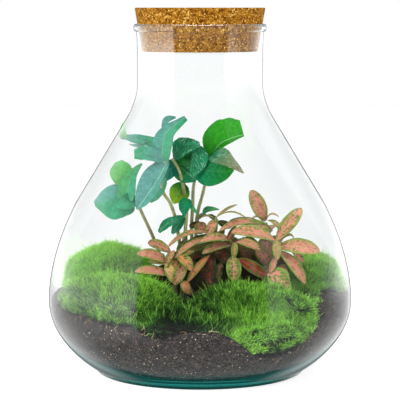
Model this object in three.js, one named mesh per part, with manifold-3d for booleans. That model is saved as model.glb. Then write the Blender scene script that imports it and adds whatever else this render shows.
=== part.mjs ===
// Closed bottle garden: a flask-shaped glass jar with a cork stopper, potting soil, moss cushions,
// a green foliage plant on thin petioles and a low nerve plant. Millimetres, +Z up.
// The origin is the centre of the foot, on the surface the jar stands on; -Y is the front.
import * as THREE from "three";
import { mergeVertices } from "three/addons/utils/BufferGeometryUtils.js";
import Module from "manifold-3d";

const wasm = await Module();
wasm.setup();

// Driving dimensions of the glass: radii, and the heights they are at.
const jar = {
  foot: 86,
  punt: 58,
  puntHeight: 1.6,
  widest: 125.3,
  widestHeight: 60,
  shoulder: 102,
  shoulderHeight: 141.7,
  throat: 64.7,
  throatHeight: 203.4,
  neck: 51.4,
  neckHeight: 239,
  lip: 55.1,
  lipHeight: 280.6,
  top: 286.8,
  wall: 2.6,
  neckWall: 2.2,
  base: 5,
  baseEdge: 82,
};
const cork = { bottomRadius: 47.6, topRadius: 53.3, bottom: 264.5, top: 300, edge: 0.9 };

// The jar, its stopper and the soil are turned with the same number of sides, so their gaps are even.
const sides = 36;
const gap = 0.5;

// What is alike in all the plants.
const bladeThickness = 0.7;
const rowLength = 7;
const rootDepth = 12;
const petiole = 1.25;
const nerveStem = 1.1;

// Where the front view is seen from: places of leaves and stems are given as [x, z, depth], with x and z
// as they appear in a front view through the axis, and are carried along the line of sight to their depth.
const eye = { distance: 1500, height: 300 };

function seen([x, z, depth]) {
  const spread = 1 + depth / eye.distance;
  return new THREE.Vector3(x * spread, depth, eye.height + (z - eye.height) * spread);
}

// ---- solids ----

function solidFrom(geometry) {
  const bare = geometry.clone();
  bare.deleteAttribute("normal");
  bare.deleteAttribute("uv");
  const merged = mergeVertices(bare, 1e-4);
  return new wasm.Manifold(
    new wasm.Mesh({
      numProp: 3,
      vertProperties: new Float32Array(merged.attributes.position.array),
      triVerts: new Uint32Array(merged.index.array),
    }),
  );
}

const join = (solids) => solids.reduce((whole, piece) => whole.add(piece));
const cut = (solid, tools) => tools.reduce((left, tool) => left.subtract(tool), solid);

function meshOf(name, solid, material) {
  const mesh = solid.getMesh();
  const position = new Float32Array(mesh.numVert * 3);
  for (let i = 0; i < mesh.numVert; i++) {
    position.set(mesh.vertProperties.subarray(i * mesh.numProp, i * mesh.numProp + 3), i * 3);
  }
  const geometry = new THREE.BufferGeometry();
  geometry.setAttribute("position", new THREE.BufferAttribute(position, 3));
  geometry.setIndex(new THREE.BufferAttribute(new Uint32Array(mesh.triVerts), 1));
  geometry.computeVertexNormals();
  const made = new THREE.Mesh(geometry, material);
  made.name = name;
  return made;
}

// A profile of Vector2(radius, height), bottom to top on the outside, turned about the Z axis.
const lathed = (profile) => solidFrom(new THREE.LatheGeometry(profile, sides).rotateX(Math.PI / 2));

// ---- the jar ----

const point = (radius, height) => new THREE.Vector2(radius, height);

function curve(steps, ...controls) {
  const points = controls.map(([radius, height]) => point(radius, height));
  return new THREE.CubicBezierCurve(...points).getPoints(steps);
}

// The outside, from the hollow under the foot up over the rolled lip.
function outsideProfile() {
  const { foot, punt, puntHeight, widest, widestHeight, shoulder, shoulderHeight } = jar;
  const { throat, throatHeight, neck, neckHeight, lip, lipHeight, top } = jar;
  return [
    point(0, puntHeight),
    point(punt, puntHeight),
    point(punt + 4, 0),
    ...curve(2, [foot - 5, 0], [foot - 2, 0], [foot - 0.4, 1], [foot, 3.2]),
    ...curve(5, [foot, 3.2], [104, 14], [widest, 34], [widest, widestHeight]).slice(1),
    ...curve(4, [widest, widestHeight], [widest, 90], [113, 121], [shoulder, shoulderHeight]).slice(1),
    ...curve(3, [throat, throatHeight], [58.5, 213.6], [neck, 224], [neck, neckHeight]),
    point(neck + 0.1, 264),
    ...curve(3, [neck + 0.9, lipHeight], [lip, lipHeight + 0.5], [lip, top], [neck + 1.2, top]),
  ];
}

// The inside, from the middle of the thick base up to the mouth.
function insideProfile() {
  const { base, baseEdge, widestHeight, neck, neckWall, neckHeight, top, wall } = jar;
  const widest = jar.widest - wall;
  const [shoulder, shoulderHeight] = [jar.shoulder - 2.8, jar.shoulderHeight - 1];
  const [throat, throatHeight] = [jar.throat - 2.8, jar.throatHeight - 1];
  const neckInside = neck - neckWall;
  return [
    point(0, base - 0.4),
    point(62, base),
    ...curve(5, [baseEdge, base + 1.2], [103, 17.5], [widest, 35.5], [widest, widestHeight]),
    ...curve(4, [widest, widestHeight], [widest, 89], [110.2, 120], [shoulder, shoulderHeight]).slice(1),
    ...curve(3, [throat, throatHeight], [55.6, 213], [neckInside, 224], [neckInside, neckHeight]),
    point(neckInside, 268),
    point(neckInside + 1.7, top - 3.5),
    point(neckInside + 2.4, top - 0.4),
  ];
}

const inside = insideProfile();

// Radius of the inner wall at a height, along the same straight steps as the wall itself.
function innerRadius(height) {
  const above = Math.max(2, inside.findIndex((p) => p.y >= height));
  const [low, high] = [inside[above - 1], inside[above]];
  return low.x + Math.max(0, (height - low.y) / (high.y - low.y)) * (high.x - low.x);
}

const glassJar = () => lathed([...outsideProfile(), ...[...inside].reverse()]);

// The room inside the glass below the neck, kept clear of it by the gap.
function roomInGlass() {
  const wall = inside.filter((p) => p.x > 0 && p.y <= jar.neckHeight);
  const inset = wall.map((p) => point(p.x - gap, p.y + gap / 2));
  return lathed([point(0, inset[0].y), ...inset, point(0, inset.at(-1).y)]);
}

function corkStopper() {
  const { bottomRadius, topRadius, bottom, top, edge } = cork;
  return lathed([
    point(0, bottom),
    point(bottomRadius - edge, bottom),
    point(bottomRadius, bottom + edge),
    point(topRadius, top - edge),
    point(topRadius - edge, top),
    point(0, top),
  ]);
}

// ---- soil ----

// The lie of the ground: higher at both sides, and hollowed where the front moss runs down the glass.
function soilHeight(x, y) {
  const lie = 57 + 7 * (x / 115) ** 2 + 0.02 * x + 0.03 * y;
  const hollow = 28 * Math.exp(-(((x - 60) / 38) ** 4) - ((y + 98) / 26) ** 2);
  const dip = 7 * Math.exp(-(((x + 32) / 14) ** 2) - ((y + 116) / 24) ** 2);
  const lumps = 1.1 * Math.sin(x / 13 + 1) * Math.cos(y / 11);
  return lie - hollow - dip + lumps;
}

// The height at which the ground meets the glass in the direction (outX, outY).
function soilHeightAtWall(outX, outY) {
  let height = jar.widestHeight;
  for (let pass = 0; pass < 4; pass++) {
    const radius = innerRadius(height) - gap;
    height = soilHeight(radius * outX, radius * outY);
  }
  return height;
}

// The soil, from the glass floor up; spread makes its sides wider and leaves its surface as it is.
function soilSolid(spread = 0) {
  const wallSteps = [0, 0.12, 0.3, 0.58, 1];
  const rings = spread ? [1, 0.84, 0.64, 0.4, 0] : [0.84, 0.64, 0.4, 0];
  const floor = jar.base + gap;
  const profile = [0, ...wallSteps, ...rings].map((step) => point(step, floor));
  const turned = new THREE.LatheGeometry(profile, sides).rotateX(Math.PI / 2);
  const place = turned.attributes.position;
  for (let side = 0; side <= sides; side++) {
    const angle = ((side % sides) / sides) * 2 * Math.PI;
    const [outX, outY] = [Math.sin(angle), -Math.cos(angle)];
    const top = soilHeightAtWall(outX, outY);
    const edge = innerRadius(top) - gap;
    const first = side * profile.length + 1;
    wallSteps.forEach((step, row) => {
      const height = floor + step * (top - floor);
      const radius = innerRadius(height) - gap + spread;
      place.setXYZ(first + row, radius * outX, radius * outY, height);
    });
    rings.forEach((ring, row) => {
      const [x, y] = [ring * edge * outX, ring * edge * outY];
      place.setXYZ(first + wallSteps.length + row, x, y, soilHeight(x, y));
    });
  }
  return solidFrom(turned);
}

// ---- stems and blades ----

function tube(points, radius, steps) {
  const ring = new THREE.Shape().absarc(0, 0, radius, 0, 2 * Math.PI);
  return solidFrom(
    new THREE.ExtrudeGeometry(ring, {
      steps,
      curveSegments: 6,
      bevelEnabled: false,
      extrudePath: new THREE.CatmullRomCurve3(points),
    }),
  );
}

// Half of a blade's width along its length, as a share of the widest.
const outlines = {
  oval: (t) => Math.max(0.15, Math.sin(Math.PI * Math.min(1, t ** 1.15)) ** 0.55),
  broad: (t) => Math.max(0.12, Math.sin(Math.PI * t ** 0.72) ** 0.62),
  lance: (t) => Math.max(0.1, Math.sin(Math.PI * t ** 0.6) ** 0.9),
  blunt: (t) => 0.62 + 0.38 * Math.sin(Math.PI * t),
  fan: (t) => Math.max(0.15, Math.sin(0.87 * Math.PI * t ** 1.5) ** 0.6),
};

// A blade from its stalk to its tip. face is the way its upper side looks, and more holds its arch (rise
// over length), fold (lift of the edges), wave (of the edges, mm), side (which half is wider) and outline.
const leaf = (from, to, width, face, more) => ({ from, to, width, face, arch: 0.12, fold: 0.25, ...more });

// A thin arched sheet, folded along its midrib.
function blade({ from, to, width, face, arch, fold, wave = 0, side = 0, outline }) {
  const start = seen(from);
  const tip = seen(to);
  const along = tip.clone().sub(start);
  const length = along.length();
  const rows = THREE.MathUtils.clamp(Math.round(length / rowLength), 3, 6);
  const columns = wave ? [-1, -0.5, 0, 0.5, 1] : [-1, 0, 1];
  along.normalize();
  const up = new THREE.Vector3(...face);
  up.addScaledVector(along, -up.dot(along)).normalize();
  const across = new THREE.Vector3().crossVectors(along, up);
  const middle = start.clone().add(tip).multiplyScalar(0.5).addScaledVector(up, 2 * arch * length);
  const rib = new THREE.QuadraticBezierCurve3(start, middle, tip);
  const upper = [];
  const lower = [];
  for (let row = 0; row <= rows; row++) {
    const t = row / rows;
    const centre = rib.getPoint(t);
    const normal = new THREE.Vector3().crossVectors(across, rib.getTangent(t)).normalize();
    const half = (width / 2) * outlines[outline](t);
    for (const column of columns) {
      const reach = half * column * (1 + side * Math.sign(column));
      const ripple = wave * Math.sin(9 * t + 2 * column) * Math.abs(column) * Math.sin(Math.PI * t);
      const spot = centre.clone().addScaledVector(across, reach);
      spot.addScaledVector(normal, fold * Math.abs(reach) + ripple);
      upper.push(spot.clone().addScaledVector(normal, bladeThickness / 2));
      lower.push(spot.clone().addScaledVector(normal, -bladeThickness / 2));
    }
  }
  return solidFrom(closedSheet(upper, lower, rows + 1, columns.length));
}

// Two grids of points as the two sides of a sheet, split into triangles alike and closed round the edge.
function closedSheet(upper, lower, rowCount, columnCount) {
  const faces = [];
  const below = upper.length;
  const quad = (a, b, c, d) => faces.push(a, b, c, a, c, d);
  for (let row = 0; row + 1 < rowCount; row++) {
    for (let column = 0; column + 1 < columnCount; column++) {
      const a = row * columnCount + column;
      const [b, c, d] = [a + 1, a + columnCount + 1, a + columnCount];
      quad(a, b, c, d);
      faces.push(below + a, below + c, below + b, below + a, below + d, below + c);
    }
    const left = row * columnCount;
    const right = left + columnCount - 1;
    quad(left, left + columnCount, below + left + columnCount, below + left);
    quad(right, below + right, below + right + columnCount, right + columnCount);
  }
  for (let column = 0; column + 1 < columnCount; column++) {
    const first = column;
    const last = (rowCount - 1) * columnCount + column;
    quad(first, below + first, below + first + 1, first + 1);
    quad(last, last + 1, below + last + 1, below + last);
  }
  const geometry = new THREE.BufferGeometry().setFromPoints([...upper, ...lower]);
  geometry.setIndex(faces);
  return geometry;
}

// A stem that stands upright in its hole in the soil and then follows the places given.
function stemPath([x, y], places) {
  const ground = soilHeight(x, y);
  const standing = [-rootDepth, -rootDepth / 2, 1].map((rise) => new THREE.Vector3(x, y, ground + rise));
  return [...standing, ...places.map(seen)];
}

function leafyStem({ root, stem, twigs = [], blades }, radius, outline) {
  return join([
    tube(stemPath(root, stem), radius, 3 + stem.length),
    ...twigs.map((twig) => tube(twig.map(seen), radius * 0.8, 3)),
    ...blades.map((each) => blade({ outline, ...each })),
  ]);
}

// The plain hole that a stem stands in, open at the top.
function hole([x, y], stemRadius) {
  const radius = stemRadius + 0.7;
  const length = rootDepth + 13;
  const bore = new THREE.CylinderGeometry(radius, radius, length, 8).rotateX(Math.PI / 2);
  return solidFrom(bore.translate(x, y, soilHeight(x, y) - rootDepth - 1 + length / 2));
}

// ---- the green plant: one petiole and its lobed blade to a node ----

const front = [0, -1, 0.25];
const greenFronds = {
  frond_low_left: {
    root: [-22, 26],
    stem: [[-31, 90, 22], [-38, 109, 14], [-47, 129, 4], [-55, 145, -3], [-57, 149, -5]],
    blades: [
      leaf([-55, 145, -4], [-87, 139, -10], 29, [0.2, -1, 0.5], { fold: -0.3, side: 0.1, outline: "oval" }),
      leaf([-59, 147, -4], [-74, 173, -2], 21, [-0.1, -1, 0], { arch: 0.06, fold: 0.1, outline: "oval" }),
      leaf([-57, 143, -5], [-46, 174, -10], 10, [-0.3, -1, 0], { fold: 0.3, outline: "lance" }),
      leaf([-55, 148, -5], [-66, 128, -14], 15, front, { arch: 0.15 }),
    ],
  },
  frond_tall_left: {
    root: [-16, 16],
    stem: [[-16, 90, 12], [-18, 114, 6], [-24, 138, -2], [-31, 150, -8], [-32, 162, -11], [-29, 175, -12]],
    blades: [
      leaf([-30, 172, -12], [-11, 211, -16], 22, [-0.2, -1, 0], { arch: 0.05, fold: 0.22, side: -0.3 }),
      leaf([-28, 183, -12], [-60, 194, -6], 10, [0, -1, 0.6], { arch: -0.06, outline: "lance" }),
      leaf([-58, 191, -7], [-56, 206, -4], 7, [0.2, -1, 0], { arch: 0.1, fold: 0.4, outline: "lance" }),
      leaf([-28, 178, -12], [-54, 179, -20], 12, [0, -1, 0.4], { arch: 0.05, outline: "blunt" }),
      leaf([-28, 172, -12], [-52, 139, -24], 19, [0.2, -1, 0.3], { arch: 0.08, fold: 0.2 }),
      leaf([-29, 170, -10], [-40, 140, -3], 16, front, { arch: 0.04 }),
      leaf([-30, 168, -10], [-34, 186, 22], 16, [-0.4, 0.3, 1], { arch: 0.1 }),
    ],
  },
  frond_middle: {
    root: [-8, 30],
    stem: [[-10, 90, 27], [-12, 115, 21], [-12, 138, 14], [-13, 147, 10], [-17, 162, 5], [-22, 174, 2]],
    blades: [
      leaf([-22, 174, 2], [4, 184, -10], 22, [0.1, -1, 0.7], { arch: 0.12, wave: 2.2, side: -0.1 }),
      leaf([-21, 172, 2], [-1, 158, -2], 18, [0.2, -1, -0.2], { arch: 0.06 }),
      leaf([-21, 173, 2], [-29, 155, 4], 13, [0, -1, 0]),
      leaf([-15, 156, 8], [-19, 138, 4], 17, [0.1, -1, 0.1], { arch: 0.08 }),
    ],
  },
  frond_right: {
    root: [-1, 24],
    stem: [[-5, 90, 21], [-7, 115, 17], [-6, 138, 12], [-5, 155, 8], [-1, 168, 3], [4, 172, 0]],
    blades: [
      leaf([0, 169, 2], [31, 164, -14], 24, [0.1, -1, 0.1], { arch: 0.08, fold: 0.15, side: 0.1 }),
      leaf([4, 172, 0], [37, 164, -14], 15, [0.3, -0.5, 1], { arch: 0.14, wave: 1.4 }),
      leaf([-3, 162, 6], [-14, 174, 42], 20, [0.1, 0.3, 1], { arch: 0.12 }),
    ],
  },
  frond_top_right: {
    root: [6, 30],
    stem: [[-1, 90, 28], [-3, 124, 24], [3, 150, 18], [6, 165, 11], [7, 174, 7]],
    twigs: [[[-3, 121, 24], [-1, 127, 20], [3, 131, 15]]],
    blades: [
      leaf([7, 173, 7], [37, 200, 3], 27, [-0.1, -1, -0.1], { fold: 0.12, side: -0.3, outline: "fan" }),
      leaf([2, 130, 16], [17, 135, 6], 8, [0, -0.5, 1], { arch: 0.12, outline: "lance" }),
      leaf([-1, 127, 20], [14, 122, 38], 10, [0.3, 0.3, 1], { arch: 0.15, outline: "lance" }),
    ],
  },
  shoot_low: {
    root: [-20, 8],
    stem: [[-16, 90, 4], [-13, 112, 1], [-11, 127, -1], [-11, 139, -3]],
    blades: [
      leaf([-11, 138, -2.5], [-14, 125, -9], 10, [-0.2, -1, 0.2], { arch: 0.2, outline: "oval" }),
      leaf([-12, 127, -1], [-35, 114, -8], 9, [0, -0.7, 0.8], { arch: 0.1, wave: 0.8, outline: "lance" }),
      leaf([-12, 126, 0], [-19, 113, 3], 8, front, { outline: "lance" }),
    ],
  },
};

// ---- the nerve plant: low stems with leaves in pairs ----

const lying = [0, -0.7, 0.8];
const nerveStems = {
  nerve_right: {
    root: [61, -4],
    stem: [[63, 84, -8], [64, 95, -13], [64, 106, -16]],
    blades: [
      leaf([64, 106, -16], [84, 137, -10], 12, [-0.3, -1, 0.2], { arch: 0.06 }),
      leaf([64, 104, -16], [101, 100, -20], 15, [0, -0.9, 0.6]),
      leaf([64, 102, -15], [89, 74, -28], 13, [0.4, -0.9, 0.4]),
      leaf([64, 105, -16], [63, 90, -26], 7, [0, -1, 0.5], { arch: 0.2, fold: 0.5 }),
      leaf([64, 104, -16], [26, 113, -24], 15, lying),
      leaf([63, 86, -9], [78, 69, -22], 14, [0.2, -0.9, 0.4]),
      leaf([63, 88, -10], [52, 78, -20], 9, lying),
      leaf([64, 102, -15], [79, 108, 2], 7, [0, -0.3, 1], { arch: 0.3 }),
      leaf([64, 97, -14], [84, 99, 10], 11, [0.2, 0.4, 1], { arch: 0.2 }),
    ],
  },
  nerve_back_right: {
    root: [54, 26],
    stem: [[56, 92, 22], [56, 109, 15], [55, 123, 11]],
    blades: [
      leaf([55, 123, 11], [42, 150, 8], 12, [0.2, -1, 0.1], { arch: 0.05 }),
      leaf([55, 122, 11], [67, 128, 8], 5, [0, -0.2, 1], { arch: 0.25 }),
      leaf([55, 121, 11], [67, 115, 3], 7, [0.3, -0.5, 0.9], { arch: 0.22 }),
      leaf([55, 121, 11], [44, 125, 5], 5, [0, -0.3, 1], { arch: 0.15 }),
      leaf([56, 111, 14], [43, 119, 8], 8, [0, -0.6, 1], { arch: 0.1 }),
      leaf([56, 110, 14], [67, 103, 2], 9, lying, { arch: 0.15 }),
      leaf([56, 112, 14], [70, 120, 38], 10, [0, 0.5, 1], { arch: 0.15 }),
      leaf([56, 110, 14], [42, 112, 36], 10, [0, 0.5, 1], { arch: 0.15 }),
    ],
  },
  nerve_middle: {
    root: [34, 14],
    stem: [[38, 88, 10], [39, 102, 4], [41, 117, 0]],
    blades: [
      leaf([41, 116, 0], [22, 119, -8], 11, [0, -0.6, 1], { arch: 0.28 }),
      leaf([39, 106, 3], [52, 97, -12], 10, [0.2, -0.8, 0.6]),
      leaf([39, 99, 5], [28, 76, -14], 12, [0, -1, 0.2], { arch: 0.2 }),
      leaf([38, 95, 7], [53, 81, -6], 11, [0, -0.9, 0.5]),
      leaf([39, 107, 3], [2, 107, -18], 11, lying, { arch: 0.14 }),
      leaf([39, 100, 5], [1, 97, -12], 11, lying, { arch: 0.12 }),
      leaf([38, 90, 9], [42, 73, -6], 11, [0, -1, 0.3], { arch: 0.2 }),
      leaf([39, 104, 4], [34, 106, 30], 10, [0, 0.4, 1], { arch: 0.15 }),
    ],
  },
  nerve_middle_left: {
    root: [12, 10],
    stem: [[12, 90, 6], [12, 104, 3], [12, 120, 0]],
    blades: [
      leaf([12, 120, 0], [32, 139, 5], 5, [0, -0.3, 1], { arch: 0.05 }),
      leaf([12, 119, 0], [38, 127, -4], 5, [0, 0, 1], { arch: 0.18 }),
      leaf([12, 119, 0], [-5, 119, -7], 10, [0, -1, 0.6], { arch: 0.2 }),
      leaf([12, 119, 0], [7, 108, -10], 9, [0, -1, 0.4], { arch: 0.25 }),
      leaf([12, 118, 1], [-2, 124, 9], 5, [0, 0, 1], { arch: 0.25 }),
      leaf([12, 100, 4], [26, 88, -8], 12, [0.2, -1, 0.4], { arch: 0.2 }),
      leaf([12, 98, 4], [-3, 88, -2], 11, [-0.2, -1, 0.4], { arch: 0.2 }),
      leaf([12, 112, 2], [18, 112, 24], 9, [0, 0.4, 1], { arch: 0.15 }),
    ],
  },
  nerve_left: {
    root: [-18, -2],
    stem: [[-17, 80, -6], [-17, 88, -9], [-18, 95, -11]],
    blades: [
      leaf([-18, 94, -11], [2, 112, -16], 9, [-0.2, -0.6, 0.8], { arch: 0.14 }),
      leaf([-18, 95, -11], [-25, 76, -24], 11, [0, -1, 0.3], { arch: 0.2 }),
      leaf([-18, 94, -11], [-9, 85, -26], 9, [0.2, -1, 0.5], { arch: 0.2 }),
      leaf([-17, 88, -9], [-17, 71, -20], 9, [0, -1, 0.3], { arch: 0.2 }),
      leaf([-17, 86, -8], [6, 93, -16], 8, lying, { arch: 0.2 }),
      leaf([-17, 81, -7], [-25, 68, -19], 9, [-0.2, -1, 0.5], { arch: 0.2 }),
      leaf([-18, 94, -11], [-13, 116, -6], 8, [-0.3, -1, 0.3], { arch: 0.08 }),
    ],
  },
  nerve_far_left: {
    root: [-32, 2],
    stem: [[-30, 80, -2], [-29, 86, -5], [-29, 91, -7]],
    blades: [
      leaf([-29, 86, -5], [-55, 85, -30], 10, lying, { arch: 0.14 }),
      leaf([-29, 91, -7], [-52, 96, -17], 10, [0, -0.8, 0.7]),
      leaf([-29, 91, -7], [-43, 108, 1], 10, [-0.3, -0.7, 0.7]),
      leaf([-29, 89, -6], [-38, 78, -22], 9, [-0.2, -1, 0.5], { arch: 0.2 }),
      leaf([-29, 88, -6], [-42, 92, 20], 9, [-0.2, 0.4, 1], { arch: 0.2 }),
    ],
  },
  nerve_low: {
    root: [4, -6],
    stem: [[3, 78, -9], [3, 84, -11], [3, 91, -12]],
    blades: [
      leaf([3, 91, -12], [12, 76, -26], 13, [0.2, -1, 0.4], { arch: 0.2 }),
      leaf([3, 87, -11], [20, 73, -20], 10, [0.3, -1, 0.5], { arch: 0.2 }),
      leaf([3, 83, -10], [-11, 68, -26], 8, [0, -1, 0.5], { arch: 0.2 }),
      leaf([3, 91, -12], [-6, 75, -25], 12, [-0.2, -1, 0.4], { arch: 0.2 }),
      leaf([3, 80, -9], [13, 66, -22], 10, [0.2, -1, 0.5], { arch: 0.2 }),
    ],
  },
};

// ---- moss cushions ----

// Each patch of moss is one or two mounds: [centre, radii, turn about Z].
const patches = {
  moss_front_left: [
    [[-66, -54, 53], [54, 48, 36], -0.1],
    [[-24, -86, 46], [46, 28, 20], 0.1],
  ],
  moss_front_right: [
    [[42, -50, 49], [56, 35, 33], 0.05],
    [[46, -86, 40], [58, 32, 22], 0.2],
  ],
  moss_back_left: [[[-76, 40, 62], [42, 40, 41], 0.2]],
  moss_back_right: [[[95, 24, 60], [31, 38, 35], 0]],
};

// A soft mound with full shoulders and an uneven surface.
function mound([centre, radii, turn], grown = 0) {
  const ball = new THREE.SphereGeometry(1, 20, 12).rotateX(Math.PI / 2);
  const place = ball.attributes.position;
  const spot = new THREE.Vector3();
  for (let i = 0; i < place.count; i++) {
    spot.fromBufferAttribute(place, i);
    const across = Math.sin(5 * spot.x + centre[0]) * Math.cos(4 * spot.y);
    const dents = across + Math.sin(6 * spot.y + centre[1]);
    const swell = 1 + 0.025 * dents;
    spot.z = Math.sign(spot.z) * Math.abs(spot.z) ** 0.8;
    const [rx, ry, rz] = radii.map((radius) => radius * swell + grown);
    place.setXYZ(i, spot.x * rx, spot.y * ry, spot.z * rz);
  }
  return solidFrom(ball.rotateZ(turn).translate(...centre));
}

const largest = (solid) => solid.decompose().reduce((a, b) => (a.volume() > b.volume() ? a : b));

// Each patch lies on the ground, stops at the glass and makes room for the patches before it.
function mossPatches() {
  const groundBelow = soilSolid(6).translate([0, 0, 1.6 * gap]);
  const room = roomInGlass();
  const before = [];
  return Object.entries(patches).map(([name, mounds]) => {
    const whole = join(mounds.map((each) => mound(each)));
    const laid = cut(whole.intersect(room), [groundBelow, ...before]);
    before.push(...mounds.map((each) => mound(each, gap)));
    return [name, largest(laid)];
  });
}

// ---- materials ----

const matt = (color, roughness) => new THREE.MeshStandardMaterial({ color, roughness, metalness: 0 });
const materials = {
  glass: new THREE.MeshStandardMaterial({
    color: 0xd8ece6,
    roughness: 0.03,
    metalness: 0,
    transparent: true,
    opacity: 0.25,
  }),
  cork: matt(0xb9853f, 0.85),
  soil: matt(0x47403c, 0.95),
  moss: matt(0x5c8f2c, 0.95),
  greenLeaf: matt(0x2f8a55, 0.45),
  nerveLeaf: matt(0xc27a62, 0.55),
};

// ---- the whole bottle garden ----

const garden = new THREE.Group();
const add = (name, solid, material) => garden.add(meshOf(name, solid, material));
const greens = Object.entries(greenFronds);
const nerves = Object.entries(nerveStems);
const holes = [
  ...greens.map(([, plant]) => hole(plant.root, petiole)),
  ...nerves.map(([, plant]) => hole(plant.root, nerveStem)),
];

add("glass_jar", glassJar(), materials.glass);
add("cork_stopper", corkStopper(), materials.cork);
add("soil", cut(soilSolid(), holes), materials.soil);
for (const [name, patch] of mossPatches()) add(name, patch, materials.moss);
for (const [name, plant] of greens) add(name, leafyStem(plant, petiole, "broad"), materials.greenLeaf);
for (const [name, plant] of nerves) add(name, leafyStem(plant, nerveStem, "oval"), materials.nerveLeaf);

export default garden;
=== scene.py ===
import math
import random

import bpy
import numpy as np
from mathutils import Matrix, Vector, noise


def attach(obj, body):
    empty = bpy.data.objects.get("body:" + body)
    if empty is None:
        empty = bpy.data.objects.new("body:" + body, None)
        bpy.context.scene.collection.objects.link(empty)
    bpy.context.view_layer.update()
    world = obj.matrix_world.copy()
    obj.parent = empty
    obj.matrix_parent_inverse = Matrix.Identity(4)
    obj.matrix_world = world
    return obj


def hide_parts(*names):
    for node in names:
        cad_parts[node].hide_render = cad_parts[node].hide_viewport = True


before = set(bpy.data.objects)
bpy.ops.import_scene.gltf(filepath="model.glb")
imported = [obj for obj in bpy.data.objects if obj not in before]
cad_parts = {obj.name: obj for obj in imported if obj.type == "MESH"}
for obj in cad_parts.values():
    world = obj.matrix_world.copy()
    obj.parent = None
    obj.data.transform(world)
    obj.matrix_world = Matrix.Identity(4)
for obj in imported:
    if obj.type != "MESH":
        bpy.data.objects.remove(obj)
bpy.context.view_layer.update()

mm = 0.001
fullTurn = 2 * math.pi


# Tools that every piece shares

def selectOnly(piece):
    if bpy.context.mode != "OBJECT":
        bpy.ops.object.mode_set(mode="OBJECT")
    bpy.ops.object.select_all(action="DESELECT")
    piece.select_set(True)
    bpy.context.view_layer.objects.active = piece


def applyModifier(piece, kind, **settings):
    selectOnly(piece)
    modifier = piece.modifiers.new(kind.title(), kind)
    for name, value in settings.items():
        setattr(modifier, name, value)
    bpy.ops.object.modifier_apply(modifier=modifier.name)


def joinAll(pieces, name):
    bpy.ops.object.select_all(action="DESELECT")
    for piece in pieces:
        piece.select_set(True)
    bpy.context.view_layer.objects.active = pieces[0]
    if len(pieces) > 1:
        bpy.ops.object.join()
    pieces[0].name = pieces[0].data.name = name
    return pieces[0]


def moveVertices(piece, place):  # place takes each corner in metres and gives back where it goes
    for vertex in piece.data.vertices:
        vertex.co = place(vertex.co)
    piece.data.update()


def giveMaterial(piece, material):
    piece.data.materials.clear()
    piece.data.materials.append(material)


def standFor(piece, node):
    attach(piece, "root")
    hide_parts(node)


def share(value, low, high):  # how far value is on its way from low to high, from 0 to 1
    return min(1, max(0, (value - low) / (high - low)))


def bezier(steps, *controls):
    points = []
    for step in range(steps + 1):
        t = step / steps
        weights = ((1 - t) ** 3, 3 * t * (1 - t) ** 2, 3 * t * t * (1 - t), t ** 3)
        points.append(tuple(sum(w * c[axis] for w, c in zip(weights, controls)) for axis in (0, 1)))
    return points


def turnedPiece(name, profile, steps):  # profile is (radius, height) in mm, from the axis back to the axis
    bpy.ops.object.select_all(action="DESELECT")
    bpy.ops.mesh.primitive_plane_add(size=mm, location=(0, 0, 0))
    piece = bpy.context.object
    piece.name = piece.data.name = name
    bpy.ops.object.mode_set(mode="EDIT")
    bpy.ops.mesh.select_mode(type="VERT")
    bpy.ops.mesh.select_all(action="SELECT")
    bpy.ops.mesh.merge(type="CENTER")
    bpy.ops.transform.translate(value=(profile[0][0] * mm, 0, profile[0][1] * mm))
    for (radius, height), (nextRadius, nextHeight) in zip(profile, profile[1:]):
        move = ((nextRadius - radius) * mm, 0, (nextHeight - height) * mm)
        bpy.ops.mesh.extrude_region_move(TRANSFORM_OT_translate={"value": move})
    bpy.ops.mesh.select_all(action="SELECT")
    bpy.ops.mesh.spin(steps=steps, angle=fullTurn, center=(0, 0, 0), axis=(0, 0, 1))
    closeSeams(piece, 0.02)
    return piece


def closeSeams(piece, reach):  # reach in mm
    selectOnly(piece)
    bpy.ops.object.mode_set(mode="EDIT")
    bpy.ops.mesh.select_all(action="SELECT")
    bpy.ops.mesh.remove_doubles(threshold=reach * mm)
    bpy.ops.mesh.normals_make_consistent(inside=False)
    bpy.ops.object.mode_set(mode="OBJECT")


def stemTube(points, thick, thin):  # thick and thin are radii in mm at the two ends
    curve = bpy.data.curves.new("stem", "CURVE")
    curve.dimensions = "3D"
    curve.bevel_depth = mm
    curve.bevel_resolution = 3
    curve.resolution_u = 6
    curve.use_fill_caps = True
    spline = curve.splines.new("BEZIER")
    spline.bezier_points.add(len(points) - 1)
    for index, (handle, point) in enumerate(zip(spline.bezier_points, points)):
        handle.co = point * mm
        handle.handle_left_type = handle.handle_right_type = "AUTO"
        handle.radius = thick + (thin - thick) * index / (len(points) - 1)
    stem = bpy.data.objects.new("stem", curve)
    bpy.context.collection.objects.link(stem)
    selectOnly(stem)
    bpy.ops.object.convert(target="MESH")
    return bpy.context.object


# Tools for materials, the studio's light and the moss: new nodes go into the tree on the bench

bench = {"tree": None}


def feed(socket, value):  # with a plain value or with what another node gives
    if isinstance(value, bpy.types.NodeSocket):
        bench["tree"].links.new(value, socket)
    else:
        socket.default_value = (*value, 1) if socket.type == "RGBA" and len(value) == 3 else value


def addNode(kind, inputs=None, **settings):
    node = bench["tree"].nodes.new(kind)
    for name, value in settings.items():
        setattr(node, name, value)
    for socket, value in (inputs or {}).items():
        feed(node.inputs[socket], value)
    return node.outputs


def newMaterial(name, **values):
    material = bpy.data.materials.new(name)
    material.use_nodes = True
    bench["tree"] = material.node_tree
    for socket, value in values.items():
        intoShader(socket.replace("_", " "), value)
    return material


def intoShader(socket, value):
    feed(bench["tree"].nodes["Principled BSDF"].inputs[socket], value)


def bumpInto(height, strength, distance):
    bump = addNode("ShaderNodeBump", {"Height": height, "Strength": strength, "Distance": distance})
    intoShader("Normal", bump["Normal"])


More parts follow.
